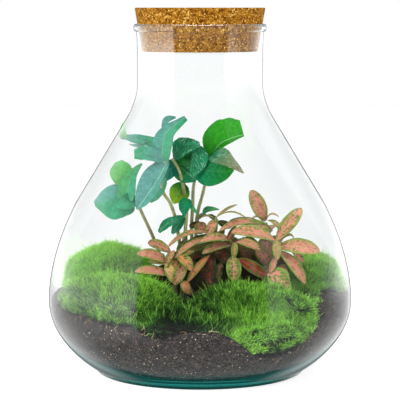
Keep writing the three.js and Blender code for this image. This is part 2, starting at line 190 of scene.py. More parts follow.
def objectPlace():
    return addNode("ShaderNodeTexCoord")["Object"]


def attributeOf(name, output="Fac"):
    return addNode("ShaderNodeAttribute", attribute_name=name)[output]


def partsOf(vector):
    return addNode("ShaderNodeSeparateXYZ", {0: vector})


def noiseOf(place, scale, detail=2.0, roughness=0.5):
    inputs = {"Vector": place, "Scale": scale, "Detail": detail, "Roughness": roughness}
    return addNode("ShaderNodeTexNoise", inputs)["Fac"]


def rampOf(factor, stops):  # stops are (position, colour)
    ramp = bench["tree"].nodes.new("ShaderNodeValToRGB")
    feed(ramp.inputs["Fac"], factor)
    elements = ramp.color_ramp.elements
    while len(elements) < len(stops):
        elements.new(0.5)
    for element, (position, colour) in zip(elements, stops):
        element.position = position
        element.color = (*colour, 1)
    return ramp.outputs["Color"]


def rangeOf(value, low, high, toLow=0.0, toHigh=1.0):
    inputs = {"Value": value, "From Min": low, "From Max": high, "To Min": toLow, "To Max": toHigh}
    return addNode("ShaderNodeMapRange", inputs)["Result"]


def mixed(factor, first, second, blend="MIX"):  # of colours
    return addNode("ShaderNodeMix", {0: factor, 6: first, 7: second}, data_type="RGBA", blend_type=blend)[2]


def blended(factor, first, second):  # of numbers
    return addNode("ShaderNodeMix", {"Factor": factor, "A": first, "B": second})["Result"]


def maths(operation, *values):
    return addNode("ShaderNodeMath", dict(enumerate(values)), operation=operation)[0]


def times(first, second):
    return maths("MULTIPLY", first, second)


def plus(first, second):
    return maths("ADD", first, second)


def minus(first, second):
    return maths("SUBTRACT", first, second)


def scaled(vector, scale):
    return addNode("ShaderNodeVectorMath", {0: vector, "Scale": scale}, operation="SCALE")[0]


# Camera, light and floor

studio = {
    "cameraPlace": (0, -1.5, 0.3),
    "lookAt": (0, 0, 0.142),
    "lens": 164.4,
    "background": 1.0,
    "behindGlass": 1.16,  # the background as it shows through the jar
    "fill": 0.6,  # how much of the background's light falls on the pieces
    # What the glass mirrors: degrees round from behind the camera, to the right, and brightness
    "mirrored": [
        (-180, 0.15), (-166, 0.15), (-158, 0.6), (-134, 0.6), (-107, 0.45), (-51, 0.68), (-47, 0.03),
        (50, 0.03), (54, 0.36), (84, 0.12), (108, 0.2), (134, 0.55), (158, 0.7), (166, 0.15), (180, 0.15),
    ],
    # and how much of it there is by the height of the direction, where 0 is level and 1 straight up
    "mirroredHigh": [
        (-0.6, 3.4), (-0.4, 2.4), (-0.25, 1.8), (-0.12, 1.8), (-0.03, 2.8), (0.1, 2.0), (0.3, 1.5),
        (0.55, 0.9), (0.85, 0.9), (0.97, 2.2),
    ],
    "brightest": 5.0,  # more than any light in the two lists
    "table": (0.04, 0.22),  # how bright the table is in the glass, under the jar and ahead of it
    "tableInside": 0.5,  # and for light that has gone round inside the foot
    "overhead": 0.95,  # above and behind the jar
    "straightUp": 9.0,  # a bright light over the jar, which the edges of the glass pick up
    "underneath": 0.5,  # what shows through the foot from below
    "floorSize": 8,
    "floorColour": (0.95, 0.95, 0.95),
    "floorGlow": 0.75,
    "lamps": {  # place, target, width, height, power
        "topLamp": ((0.1, -0.25, 1.3), (0, 0, 0.1), 0.8, 0.8, 14),
        "leftLamp": ((-1.1, -0.8, 0.5), (0, 0, 0.12), 0.35, 1.2, 12),
        "rightLamp": ((1.1, -0.7, 0.5), (0, 0, 0.12), 0.35, 1.2, 3.2),
    },
}


def aimAt(thing, target):
    thing.rotation_euler = (Vector(target) - thing.location).to_track_quat("-Z", "Y").to_euler()


def setUpCamera():
    bpy.context.scene.view_settings.view_transform = "Standard"
    bpy.ops.object.camera_add(location=studio["cameraPlace"])
    camera = bpy.context.object
    camera.data.lens = studio["lens"]
    aimAt(camera, studio["lookAt"])
    bpy.context.scene.camera = camera


def lightBy(value, whole, stops):  # value runs from -whole to whole, and the stops' places from -1 to 1
    most = studio["brightest"]
    greys = [((place + 1) / 2, (light / most,) * 3) for place, light in stops]
    return times(rampOf(rangeOf(value, -whole, whole), greys), most)


def setUpBackground():
    world = bpy.data.worlds.new("paleStudio")
    world.use_nodes = True
    bpy.context.scene.world = world
    bench["tree"] = world.node_tree
    path = addNode("ShaderNodeLightPath")
    sideways, onward, height = partsOf(addNode("ShaderNodeTexCoord")["Generated"])
    towardsCamera = minus(0.0, onward)

    def byHeight(low, high, below, above):  # below and above pass into each other between the heights
        return blended(rangeOf(height, low, high), below, above)

    angle = maths("ARCTAN2", sideways, towardsCamera)
    ring = lightBy(angle, math.pi, [(degrees / 180, light) for degrees, light in studio["mirrored"]])
    ring = times(ring, lightBy(height, 1.0, studio["mirroredHigh"]))
    overJar = times(rangeOf(height, 0.15, 0.4), rangeOf(onward, 0.2, 0.5))
    ring = byHeight(0.88, 0.95, blended(overJar, ring, studio["overhead"]), studio["straightUp"])
    table = rangeOf(towardsCamera, -0.5, 0.3, *studio["table"])
    within = maths("MINIMUM", path["Transmission Depth"], 1.0)
    outside = byHeight(-0.75, -0.35, table, ring)
    mirrored = blended(within, outside, byHeight(-0.3, -0.05, studio["tableInside"], ring))
    behind = byHeight(-0.5, -0.25, studio["underneath"], studio["behindGlass"])
    seenThrough = blended(path["Is Transmission Ray"], studio["fill"], behind)
    unmirrored = blended(path["Is Camera Ray"], seenThrough, studio["background"])
    turnedBack = maths("MINIMUM", path["Glossy Depth"], 1.0)
    sky = world.node_tree.nodes["Background"].inputs
    feed(sky["Color"], (1, 1, 1))
    feed(sky["Strength"], blended(turnedBack, unmirrored, mirrored))


def setUpLampsAndFloor():
    for name, (place, target, width, height, power) in studio["lamps"].items():
        bpy.ops.object.light_add(type="AREA", location=place)
        lamp = bpy.context.object
        lamp.name = name
        lamp.data.shape = "RECTANGLE"
        lamp.data.size, lamp.data.size_y = width, height
        lamp.data.energy = power
        lamp.visible_glossy = lamp.visible_transmission = False
        aimAt(lamp, target)

    bpy.ops.mesh.primitive_plane_add(size=studio["floorSize"], location=(0, 0, 0))
    floor = bpy.context.object
    floor.name = "studioFloor"
    giveMaterial(floor, newMaterial(
        "paleFloor", Base_Color=studio["floorColour"], Roughness=1.0,
        Emission_Color=(1, 1, 1), Emission_Strength=studio["floorGlow"],
    ))
    floor.visible_glossy = floor.visible_transmission = False


setUpCamera()
setUpBackground()
setUpLampsAndFloor()
print("studio is set up")


# The glass jar: radii and heights in mm

jar = {
    "outside": [
        (0, 1.6), (20, 1.6), (40, 1.6), (57, 1.6), (59.5, 1.1), (62, 0),
        *bezier(6, (81, 0), (84, 0), (85.6, 1), (86, 3.2)),
        *bezier(24, (86, 3.2), (104, 14), (125.3, 34), (125.3, 60))[1:],
        *bezier(20, (125.3, 60), (125.3, 90), (113, 121), (102, 141.7))[1:],
        (89.5, 162.3), (77, 183),
        *bezier(14, (64.7, 203.4), (58.5, 213.6), (51.4, 224), (51.4, 239)),
        (51.45, 252), (51.5, 266), (51.8, 275),
        *bezier(12, (52.3, 280.6), (54.9, 280.4), (55.1, 286.8), (52.6, 286.8)),
    ],
    "inside": [
        (0, 4.6), (32, 4.7), (62, 4.9), (74, 5.1), (80, 5.5),
        *bezier(28, (86, 6.8), (104.4, 16.8), (123.8, 35), (123.8, 60)),
        *bezier(20, (123.8, 60), (123.8, 89.6), (111.7, 120.4), (100.7, 141.1))[1:],
        (88.2, 161.7), (75.7, 182.4),
        *bezier(14, (63.4, 202.8), (57.1, 213.4), (50.1, 224), (50.1, 239)),
        (50.1, 254), (50.1, 268), (50.4, 276), (51.2, 283.3), (51.7, 286.4),
    ],
    "steps": 144,
    "sharp": 38,  # degrees, past which an edge stays crisp
    "tint": [(0.0, (0.05, 0.66, 0.61)), (0.5, (0.05, 0.66, 0.61)), (1.0, (1, 1, 1))],
    "tinted": 0.016,  # m, how high the tint reaches
    "absorbs": (0.13, 0.53, 0.50),
    "density": 22.0,
    # painted glow: light that is turned round inside the foot picks up this glowing colour each time,
    # standing in for the deep teal of the thick foot
    "paintedFootGlow": (0.0, 1.0, 0.92),
    "paintedFootGlowStrength": 0.022,
    "paintedFootGlowTo": (0.030, 0.040),  # m, where that fades out
    # around the cork the glass mirrors more
    "mouth": (0.262, 0.266),  # m, where that sets in
    "mouthGloss": 0.5,
    "mouthIor": 2.2,
}


def innerRadius(height):  # mm, of the inner wall, for one height or an array of them
    radii, heights = zip(*jar["inside"])
    return np.interp(height, heights, radii)


def glassMaterial():
    clearGlass = newMaterial(
        "clearGlass", Roughness=0.0, IOR=1.5, Transmission_Weight=1.0, Coat_IOR=jar["mouthIor"],
        Emission_Color=jar["paintedFootGlow"],
    )
    height = partsOf(objectPlace())["Z"]
    intoShader("Base Color", rampOf(rangeOf(height, 0.0, jar["tinted"]), jar["tint"]))
    # painted glow in the foot, only for light that has turned round inside the glass
    turned = maths("MINIMUM", addNode("ShaderNodeLightPath")["Glossy Depth"], 1.0)
    paintedGlow = rangeOf(height, *jar["paintedFootGlowTo"], jar["paintedFootGlowStrength"], 0)
    intoShader("Emission Strength", times(turned, paintedGlow))
    clearGlass.cycles.emission_sampling = "NONE"
    intoShader("Coat Weight", rangeOf(height, *jar["mouth"], 0.0, jar["mouthGloss"]))
    depth = addNode("ShaderNodeVolumeAbsorption", {"Color": jar["absorbs"], "Density": jar["density"]})
    feed(clearGlass.node_tree.nodes["Material Output"].inputs["Volume"], depth["Volume"])
    return clearGlass


def makeJar():
    flask = turnedPiece("glass_flask", [*jar["outside"], *reversed(jar["inside"])], jar["steps"])
    bpy.ops.object.shade_smooth_by_angle(angle=math.radians(jar["sharp"]))
    giveMaterial(flask, glassMaterial())
    flask.visible_shadow = False
    flask.visible_diffuse = False
    standFor(flask, "glass_jar")


makeJar()
print("glass jar is made")


# The cork stopper, in mm

cork = {
    "bottomRadius": 47.6, "topRadius": 53.3, "bottom": 264.5, "top": 300.0,
    "edge": 0.9,  # how far the rounding of both edges reaches
    "steps": 300,
    "sideRows": 34,
    "underRings": 20,
    "overRings": 40,
    "granule": 1.3,  # across
    "pitDepth": 0.45,
    "sharp": 50,  # degrees
    "tones": [
        (0.0, (0.08, 0.024, 0.002)), (0.18, (0.21, 0.078, 0.005)), (0.45, (0.37, 0.155, 0.010)),
        (0.8, (0.49, 0.230, 0.022)), (1.0, (0.76, 0.46, 0.12)),
    ],
}


def corkMaterial():
    pressedCork = newMaterial("pressedCork", Roughness=0.9, Specular_IOR_Level=0.08)
    place = objectPlace()
    cells = {"Vector": place, "Scale": 1000 / cork["granule"], "Randomness": 1.0}
    granules = addNode("ShaderNodeTexVoronoi", cells)["Color"]
    edges = addNode("ShaderNodeTexVoronoi", cells, feature="DISTANCE_TO_EDGE")["Distance"]
    tone = rampOf(addNode("ShaderNodeSeparateColor", {"Color": granules})["Red"], cork["tones"])
    grain = noiseOf(place, 900, 4, 0.7)
    grainTone = rampOf(grain, [(0.34, (0.22, 0.13, 0.06)), (0.52, (1, 1, 1))])
    tone = mixed(0.75, tone, grainTone, "MULTIPLY")
    crevice = rangeOf(edges, 0.0, 0.11, 0.8, 0.0)
    intoShader("Base Color", mixed(crevice, tone, (0.13, 0.045, 0.005)))
    bumpInto(minus(grain, crevice), 0.8, 0.0005)
    return pressedCork


def makeCork():
    low, high = cork["bottomRadius"], cork["topRadius"]
    bottom, top, edge = cork["bottom"], cork["top"], cork["edge"]
    rows, underRings, overRings = cork["sideRows"], cork["underRings"], cork["overRings"]
    under = [(low * ring / underRings, bottom) for ring in range(underRings)]
    side = [
        (low + (high - low) * row / rows, bottom + edge + (top - bottom - 2 * edge) * row / rows)
        for row in range(rows + 1)
    ]
    over = [(high * ring / overRings, top) for ring in range(overRings - 1, -1, -1)]
    lowEdge = [(low - edge, bottom), (low - 0.25, bottom + 0.3)]
    highEdge = [(high - 0.25, top - 0.3), (high - edge, top)]
    plug = turnedPiece("cork_plug", [*under, *lowEdge, *side, *highEdge, *over], cork["steps"])

    def pitted(spot):
        away = Vector((spot.x, spot.y, 0)).normalized() if spot.xy.length > 0.045 else Vector((0, 0, 0))
        if spot.z > top * mm - 0.0004:
            away = away + Vector((0, 0, 1))
        nearest, second = noise.voronoi(spot * (1000 / cork["granule"]), distance_metric="DISTANCE")[0][:2]
        crevice = max(0.0, 1 - (second - nearest) / 0.22)
        rough = 0.5 + 0.5 * noise.noise(spot * 420)
        return spot - away * (crevice * rough * cork["pitDepth"] * mm)

    moveVertices(plug, pitted)
    selectOnly(plug)
    bpy.ops.object.shade_smooth_by_angle(angle=math.radians(cork["sharp"]))
    giveMaterial(plug, corkMaterial())
    standFor(plug, "cork_stopper")


makeCork()
print("cork stopper is made")


# The soil, in mm

soil = {
    "floor": 5.2,
    "gap": 0.15,  # between the soil and the glass
    "wallRows": 40,
    "topRows": 60,
    "steps": 240,
    "wallRelief": 0.9,
    "topRelief": 2.2,
    "tones": [
        (0.30, (0.005, 0.005, 0.005)), (0.47, (0.019, 0.017, 0.0165)), (0.60, (0.045, 0.038, 0.036)),
        (0.78, (0.105, 0.085, 0.074)),
    ],
    "crumbTones": [(0.0, (0.25, 0.25, 0.26)), (0.6, (0.9, 0.88, 0.88)), (1.0, (2.2, 1.95, 1.85))],
    "speckTones": [
        (0.0, (0.26, 0.09, 0.04)), (0.4, (0.40, 0.24, 0.12)), (0.8, (0.50, 0.40, 0.27)),
        (1.0, (0.85, 0.80, 0.68)),
    ],
}


def soilHeight(x, y):
    lie = 57 + 7 * (x / 115) ** 2 + 0.02 * x + 0.03 * y
    hollow = 28 * math.exp(-(((x - 60) / 38) ** 4) - ((y + 98) / 26) ** 2)
    dip = 7 * math.exp(-(((x + 32) / 14) ** 2) - ((y + 116) / 24) ** 2)
    lumps = 1.1 * math.sin(x / 13 + 1) * math.cos(y / 11)
    return lie - hollow - dip + lumps


def soilHeightAtWall(outX, outY):
    height = 60
    for _ in range(4):
        radius = innerRadius(height) - soil["gap"]
        height = soilHeight(radius * outX, radius * outY)
    return height


def soilMaterial():
    pottingSoil = newMaterial("pottingSoil", Roughness=1.0, Specular_IOR_Level=0.1)
    place = objectPlace()
    lumps = noiseOf(place, 190, 7, 0.78)
    crumbs = addNode("ShaderNodeTexVoronoi", {"Vector": place, "Scale": 880})
    eachCrumb = addNode("ShaderNodeSeparateColor", {"Color": crumbs["Color"]})
    crumbTone = rampOf(eachCrumb["Green"], soil["crumbTones"])
    tone = mixed(1.0, rampOf(lumps, soil["tones"]), crumbTone, "MULTIPLY")
    rare = maths("GREATER_THAN", eachCrumb["Red"], 0.965)
    small = maths("LESS_THAN", crumbs["Distance"], 0.42)
    speckTone = rampOf(eachCrumb["Blue"], soil["speckTones"])
    intoShader("Base Color", mixed(times(rare, small), tone, speckTone))
    bumpInto(plus(lumps, crumbs["Distance"]), 0.7, 0.0009)
    return pottingSoil


def makeSoil():
    # Turned in unit size first: the floor at height 0, the wall from 0 to 1, the surface from 1 to 2
    wallRows, topRows = soil["wallRows"], soil["topRows"]
    wall = [(1000, 1000 * row / wallRows) for row in range(wallRows + 1)]
    surface = [(1000 * (1 - row / topRows), 1000 + 1000 * row / topRows) for row in range(1, topRows + 1)]
    bed = turnedPiece("soil_bed", [(0, 0), (500, 0), *wall, *surface], soil["steps"])

    def laid(spot):
        around = math.atan2(spot.y, spot.x)
        outX, outY = math.cos(around), math.sin(around)
        ring = min(1.0, spot.xy.length)
        top = soilHeightAtWall(outX, outY)
        if spot.z <= 1.0005:
            height = soil["floor"] + spot.z * (top - soil["floor"])
            radius = (innerRadius(height) - soil["gap"]) * ring
            grit = Vector((radius * outX, radius * outY, height))
            relief = abs(noise.noise(grit * 0.45)) + 0.6 * abs(noise.noise(grit * 1.1))
            if ring > 0.9:
                radius -= min(1.0, relief) * soil["wallRelief"] * min(1, height / 20)
            return Vector((radius * outX, radius * outY, height)) * mm
        edge = innerRadius(top) - soil["gap"]
        x, y = ring * edge * outX, ring * edge * outY
        grit = Vector((x, y, 0))
        lumps = noise.noise(grit * 0.16) + 0.7 * abs(noise.noise(grit * 0.5)) + 0.5 * noise.noise(grit * 1.3)
        return Vector((x, y, soilHeight(x, y) + lumps * soil["topRelief"] * min(1, (1 - ring) * 30))) * mm

    moveVertices(bed, laid)
    closeSeams(bed, 0.01)
    bpy.ops.object.shade_smooth()
    giveMaterial(bed, soilMaterial())
    standFor(bed, "soil")


makeSoil()
print("soil is made")


# Moss: each cushion is a dark core under thousands of small shoots. Lengths are in mm

moss = {
    "cushions": {  # tufts, seed, how light its shoots are
        "moss_front_left": (6600, 3, 0.42),
        "moss_front_right": (6600, 8, 0.24),
        "moss_back_left": (5600, 5, 1.15),
        "moss_back_right": (3800, 9, 0.6),
    },
    # two strips of moss creep along the edge of the soil at the front: x and height along each, radius
    "edging": [
        ([(-36, 59), (-22, 57), (-8, 56), (6, 55), (18, 51), (29, 44), (38, 35)], 6.5),
        ([(72, 72), (84, 67), (88, 60), (84, 50), (72, 42)], 8.5),
    ],
    # folds in a cushion: x and height at both ends, depth
    "folds": {
        "moss_front_left": [((-62, 62), (-8, 50), 4.5)],
        "moss_front_right": [((10, 53), (70, 50), 0.8)],
    },
    # painted shade in hollows: x, height, half width, half height, depth
    "paintedHollowShade": [(-22, 61, 12, 6, 1.2), (2, 58, 18, 6, 1.0), (8, 74, 13, 7, 0.5), (-28, 50, 24, 8, 0.45)],
    "voxel": 2.4,
    "sunk": 6.5,  # how far the core lies under the cushion's outside
    "tussock": 2.6,
    "gap": 0.4,  # between the moss and the glass
    "sharp": 70,  # degrees
    "freeSlope": -0.25,  # shoots grow where the normal's height is more than this
    "shootLength": 6.8,
    "shootWidth": 0.46,
    "shootRise": 0.45,  # how much the shoots turn upwards
    # degrees from upright, around, length and lightness of each spike in a tuft
    "spikes": [
        (4, 0, 1.0, 0.2), (26, 20, 0.9, -0.25), (32, 140, 0.85, 0.35), (28, 260, 0.95, -0.1),
        (52, 80, 0.7, 0.0), (56, 200, 0.7, -0.3),
    ],
    "strandShare": 0.13,  # long pale strands for each tuft
    "strandLength": 11.0,
    "strandWidth": 0.3,
    "strandRise": 0.1,
    "strandLightness": 0.9,
    "strandSpikes": [(0, 0, 1.0, 0.3)],
    # tones from the foot of a spike to its tip, in the shade and in the light
    "deep": [(0.0, (0.002, 0.008, 0.002)), (0.35, (0.008, 0.050, 0.004)), (0.8, (0.026, 0.150, 0.008))],
    "fresh": [(0.0, (0.008, 0.028, 0.003)), (0.25, (0.060, 0.240, 0.008)), (0.7, (0.390, 0.820, 0.090))],
}


def mossShoot(name, length, width, spikes):  # a tuft of slender spikes, the same for all cushions
    made = []
    for lean, around, size, light in spikes:
        high = length * size * mm
        middle = (0, 0, high / 2)
        bpy.ops.object.select_all(action="DESELECT")
        bpy.ops.mesh.primitive_cone_add(
            vertices=3, radius1=width * mm, radius2=0, depth=high, location=middle,
        )
        spike = bpy.context.object
        spike.data.attributes.new("tip", "FLOAT", "POINT")
        spike.data.attributes.new("spike", "FLOAT", "POINT")
        for vertex in spike.data.vertices:
            spike.data.attributes["tip"].data[vertex.index].value = 1.0 if vertex.co.z > 0 else 0.0
            spike.data.attributes["spike"].data[vertex.index].value = light
        bpy.ops.object.transform_apply(location=True, rotation=False, scale=False)
        turn = Matrix.Rotation(math.radians(around), 4, "Z")
        spike.data.transform(turn @ Matrix.Rotation(math.radians(lean), 4, "X"))
        made.append(spike)
    return joinAll(made, name)


def shootNodes(core, kinds):  # each kind of shoot with its count, seed, rise and lightness
    group = bpy.data.node_groups.new("mossShoots", "GeometryNodeTree")
    bench["tree"] = group
    for way in ("INPUT", "OUTPUT"):
        group.interface.new_socket("Geometry", in_out=way, socket_type="NodeSocketGeometry")

    def chance(low, high, seed):
        return addNode("FunctionNodeRandomValue", {2: low, 3: high, "Seed": seed}, data_type="FLOAT")[1]

    def onEnd(height):  # a vector that points up
        return addNode("ShaderNodeCombineXYZ", {"Z": height})[0]

    def together(first, second):  # of vectors
        return addNode("ShaderNodeVectorMath", {0: first, 1: second}, operation="ADD")[0]

    ground = addNode("NodeGroupInput")[0]
    slope = partsOf(addNode("GeometryNodeInputNormal")[0])["Z"]
    freeSide = maths("GREATER_THAN", slope, moss["freeSlope"])
    area = sum(face.area for face in core.data.polygons if face.normal.z > moss["freeSlope"])
    whole = group.nodes.new("GeometryNodeJoinGeometry")
    feed(whole.inputs[0], ground)
    away = addNode("GeometryNodeInputNamedAttribute", {"Name": "away"}, data_type="FLOAT")[0]
    for shoot, count, seed, rise, lightness in kinds:
        spread = addNode("GeometryNodeDistributePointsOnFaces", {
            "Mesh": ground, "Selection": freeSide, "Density": count / area, "Seed": seed,
        })
        stray = addNode("FunctionNodeRandomValue", {
            0: (-0.5, -0.5, -0.35), 1: (0.5, 0.5, 0.35), "Seed": seed + 1,
        }, data_type="FLOAT_VECTOR")["Value"]
        # beside the glass they stand along it, not out from the cushion
        outward = scaled(spread["Normal"], away)
        upward = onEnd(rangeOf(away, 0.0, 1.0, rise + 0.4, rise))
        unruly = rangeOf(away, 0.0, 1.0, 2.4, 1.0)
        aim = together(together(outward, upward), scaled(stray, unruly))
        spun = addNode("FunctionNodeEulerToRotation", {0: onEnd(chance(0.0, fullTurn, seed + 2))})[0]
        turned = addNode("FunctionNodeAlignRotationToVector", {"Rotation": spun, "Vector": aim}, axis="Z")[0]
        shoots = addNode("GeometryNodeInstanceOnPoints", {
            "Points": spread["Points"],
            "Instance": addNode("GeometryNodeObjectInfo", {"Object": shoot})["Geometry"],
            "Rotation": turned,
            "Scale": chance(0.6, 1.3, seed + 3),
        })[0]
        named = addNode("GeometryNodeStoreNamedAttribute", {
            "Geometry": shoots,
            "Name": "lightness",
            "Value": chance(lightness - 0.42, lightness + 0.42, seed + 4),
        }, data_type="FLOAT", domain="INSTANCE")[0]
        feed(whole.inputs[0], addNode("GeometryNodeRealizeInstances", {0: named})[0])
    feed(group.nodes.new("NodeGroupOutput").inputs[0], whole.outputs[0])
    return group


def mossMaterial():
    livingMoss = newMaterial("livingMoss", Roughness=0.75, Specular_IOR_Level=0.25)
    place = objectPlace()
    tip = attributeOf("tip")
    side, _, upward = partsOf(place)
    amount = plus(attributeOf("lightness"), rangeOf(noiseOf(place, 38, 3), 0.3, 0.7, -0.3, 0.3))
    amount = plus(amount, attributeOf("spike"))
    amount = plus(amount, rangeOf(noiseOf(place, 150), 0.35, 0.65, -0.22, 0.22))
    # painted shade and light: low down the moss is painted darker on the left and lighter on the right
    low = times(rangeOf(side, -0.02, 0.03, -0.4, 0.45), rangeOf(upward, 0.045, 0.085, 1, 0))
    amount = plus(amount, low)
    tone = mixed(rangeOf(amount, 0.0, 1.0), rampOf(tip, moss["deep"]), rampOf(tip, moss["fresh"]))
    # painted shade: where the lightness drops below nothing, in the shaded hollows, the moss is painted
    # darker still
    hollow = rangeOf(amount, -0.9, 0.0, 0.12, 1)
    intoShader("Base Color", mixed(1.0, tone, hollow, "MULTIPLY"))
    return livingMoss


def makeEdging(path, thick):
    points = []
    for x, height in path:
        radius = innerRadius(height) - thick - 1
        points.append(Vector((x, -math.sqrt(radius * radius - x * x), height)))
    return stemTube(points, thick, thick)


def unevenness(node, spot):  # mm, outwards
    swell = moss["tussock"] * noise.noise(spot * 55)
    for (startX, startZ), (endX, endZ), depth in moss["folds"].get(node, []):
        along = (spot.x / mm - startX) / (endX - startX)
        if 0 < along < 1 and spot.y < 0:
            level = startZ + (endZ - startZ) * along + 2.5 * math.sin(9 * along)
            near = math.exp(-(((spot.z / mm - level) / 3.2) ** 2))
            swell -= depth * near * min(1, 6 * along, 6 - 6 * along)
    if node == "moss_front_right":  # its far shoulder falls away
        swell -= 4 * share(spot.x / mm, 50, 85) * share(spot.z / mm, 52, 70)
    return swell


def mossCore(node):
    selectOnly(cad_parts[node])
    bpy.ops.object.duplicate()
    cushion = bpy.context.object
    cushion.name = cushion.data.name = node + "_cushion"
    bpy.ops.object.mode_set(mode="EDIT")
    bpy.ops.mesh.select_all(action="SELECT")
    bpy.ops.mesh.remove_doubles(threshold=0.01 * mm)
    bpy.ops.object.mode_set(mode="OBJECT")
    if node == "moss_front_right":
        cushion = joinAll([cushion, *[makeEdging(*each) for each in moss["edging"]]], cushion.name)
    applyModifier(cushion, "REMESH", mode="VOXEL", voxel_size=moss["voxel"] * mm)
    applyModifier(cushion, "SMOOTH", factor=0.5, iterations=4)
    moves = [vertex.normal * mm * unevenness(node, vertex.co) for vertex in cushion.data.vertices]
    for vertex, move in zip(cushion.data.vertices, moves):
        vertex.co += move
    free = cushion.vertex_groups.new(name="free")  # what stands away from the glass and the soil
    away = []  # from the glass: 0.3 beside it
    for vertex in cushion.data.vertices:
        room = share(innerRadius(vertex.co.z / mm) - vertex.co.xy.length / mm, 1, 6)
        away.append(0.3 + 0.7 * room)
        free.add([vertex.index], (0.45 + 0.55 * room) * share(vertex.normal.z, -0.5, 0), "REPLACE")
    cushion.data.attributes.new("away", "FLOAT", "POINT").data.foreach_set("value", away)
    applyModifier(cushion, "DISPLACE", strength=-moss["sunk"] * mm, mid_level=0, vertex_group="free")
    return cushion


def placesOf(piece):  # one row for each corner, in m
    flat = np.empty(len(piece.data.vertices) * 3)
    piece.data.vertices.foreach_get("co", flat)
    return flat.reshape(-1, 3)


def keepInGlass(piece):
    places = placesOf(piece)
    radii = np.hypot(places[:, 0], places[:, 1]) / mm
    most = innerRadius(places[:, 2] / mm) - moss["gap"]
    places[:, :2] *= np.minimum(1, most / np.maximum(radii, 1e-6))[:, None]
    piece.data.vertices.foreach_set("co", places.ravel())
    piece.data.update()


# Painted shade: the shoots in the hollows of the front cushions get a lower lightness
def paintShadeIntoHollows(cushion):
    x, y, z = placesOf(cushion).T / mm
    values = np.empty(len(x))
    cushion.data.attributes["lightness"].data.foreach_get("value", values)
    for middleX, middleZ, wide, high, depth in moss["paintedHollowShade"]:
        values -= depth * np.exp(-(((x - middleX) / wide) ** 2) - ((z - middleZ) / high) ** 2) * (y < -30)
    cushion.data.attributes["lightness"].data.foreach_set("value", values)


def makeMoss():
    shoot = mossShoot("mossShoot", moss["shootLength"], moss["shootWidth"], moss["spikes"])
    strand = mossShoot("mossStrand", moss["strandLength"], moss["strandWidth"], moss["strandSpikes"])
    livingMoss = mossMaterial()
    for node, (count, seed, lightness) in moss["cushions"].items():
        cushion = mossCore(node)
        applyModifier(cushion, "NODES", node_group=shootNodes(cushion, [
            (shoot, count, seed, moss["shootRise"], lightness),
            (strand, count * moss["strandShare"], seed + 50, moss["strandRise"], moss["strandLightness"]),
        ]))
        keepInGlass(cushion)
        paintShadeIntoHollows(cushion)
        giveMaterial(cushion, livingMoss)
        cushion.data.polygons.foreach_set("material_index", [0] * len(cushion.data.polygons))
        bpy.ops.object.shade_smooth_by_angle(angle=math.radians(moss["sharp"]))
        standFor(cushion, node)
        print(node, "has", len(cushion.data.polygons), "faces")
    bpy.data.objects.remove(shoot)
    bpy.data.objects.remove(strand)


# Pale root fibres along the edge of the soil behind the front of the glass

fibres = {
    "count": 60,
    "seed": 4,
    "span": 0.95,  # radians to either side of the front
    "length": (2.0, 6.5),
    "thick": 0.17,
    "spread": (-5.0, 2.5),  # mm below and above the edge of the soil
    "gap": 0.55,  # mm from the glass
    "tones": [(0.35, (0.08, 0.04, 0.02)), (0.5, (0.30, 0.22, 0.09)), (0.65, (0.62, 0.58, 0.34))],
}


def makeFibres():
    chances = random.Random(fibres["seed"])
    made = []
    for _ in range(fibres["count"]):
        angle = chances.uniform(-fibres["span"], fibres["span"])
        height = soilHeightAtWall(math.sin(angle), -math.cos(angle)) + chances.uniform(*fibres["spread"])
        lean, bend = chances.uniform(-1.4, 1.4), chances.uniform(-0.4, 0.4)
        length = chances.uniform(*fibres["length"])
        points = []
        for step in range(4):
            turn = angle + length * math.cos(lean) * step / 3 / 120
            level = height + length * math.sin(lean) * step / 3
            radius = innerRadius(level) - fibres["gap"]
            points.append(Vector((radius * math.sin(turn), -radius * math.cos(turn), level)))
            lean += bend
        made.append(stemTube(points, fibres["thick"], fibres["thick"] * 0.6))
    strands = joinAll(made, "root_fibres")
    driedRoot = newMaterial("driedRoot", Roughness=0.8)
    intoShader("Base Color", rampOf(noiseOf(objectPlace(), 60), fibres["tones"]))
    giveMaterial(strands, driedRoot)
    bpy.ops.object.shade_smooth()
    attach(strands, "root")


makeMoss()
makeFibres()
print("moss is made")


# Leaves and stems. Places are (x, z, depth) in mm, x and z as they appear in a front view through the
# axis, and they are carried along the line of sight to their depth

eyePlace = {"distance": 1500, "height": 300}


def seen(place):
    x, z, depth = place
    spread = 1 + depth / eyePlace["distance"]
    return Vector((x * spread, depth, eyePlace["height"] + (z - eyePlace["height"]) * spread))


leafBasics = {
    "halves": None,  # mm on the left and the right of the rib, at even steps from stalk to tip
    "arch": 0.12,  # rise over length
    "fold": 0.25,  # lift of the edges
    "wave": 0.0,  # of the edges, mm
    "quilt": 0.35,  # swelling between the veins, mm
    "veinGap": 5.2,  # mm
    "veinSlant": 0.75,
    "rows": 24,
    "columns": 12,
    "thickness": 0.4,  # mm
    "silver": 0.0,  # silvery crests on the green plant, partly painted highlights; green on the nerve plant
    "shade": 0.0,  # painted shade: how much darker the leaf is painted for growing deep in the plant
    "midrib": 0.35,  # how clearly the midrib shows
    "tipTint": None,
    # painted shade and sheen: another tint for the right half, where a fold turns it to or from the light
    "rightTint": None,
}


def leaf(rib, width, face, **more):  # more says where it differs from leafBasics
    return rib, width, face, more


def ovalShare(t):  # half of the width along the length, as a share of the widest
    return math.sin(math.pi * min(1, t ** 1.15)) ** 0.55


def between(row, t):  # along a smooth curve through numbers or places that are spaced evenly in t
    place = min(max(t, 0), 1) * (len(row) - 1)
    index = min(int(place), len(row) - 2)
    near, far = row[index], row[index + 1]
    before = row[index - 1] if index > 0 else near * 2 - far
    after = row[index + 2] if index + 2 < len(row) else far * 2 - near
    u = place - index
    bend = (before * 2 - near * 5 + far * 4 - after) * (u * u)
    bend = bend + (near * 3 - before - far * 3 + after) * (u ** 3)
    return (near * 2 + (far - before) * u + bend) * 0.5


def mixOf(first, second, amount):
    return tuple(a + (b - a) * amount for a, b in zip(first, second))


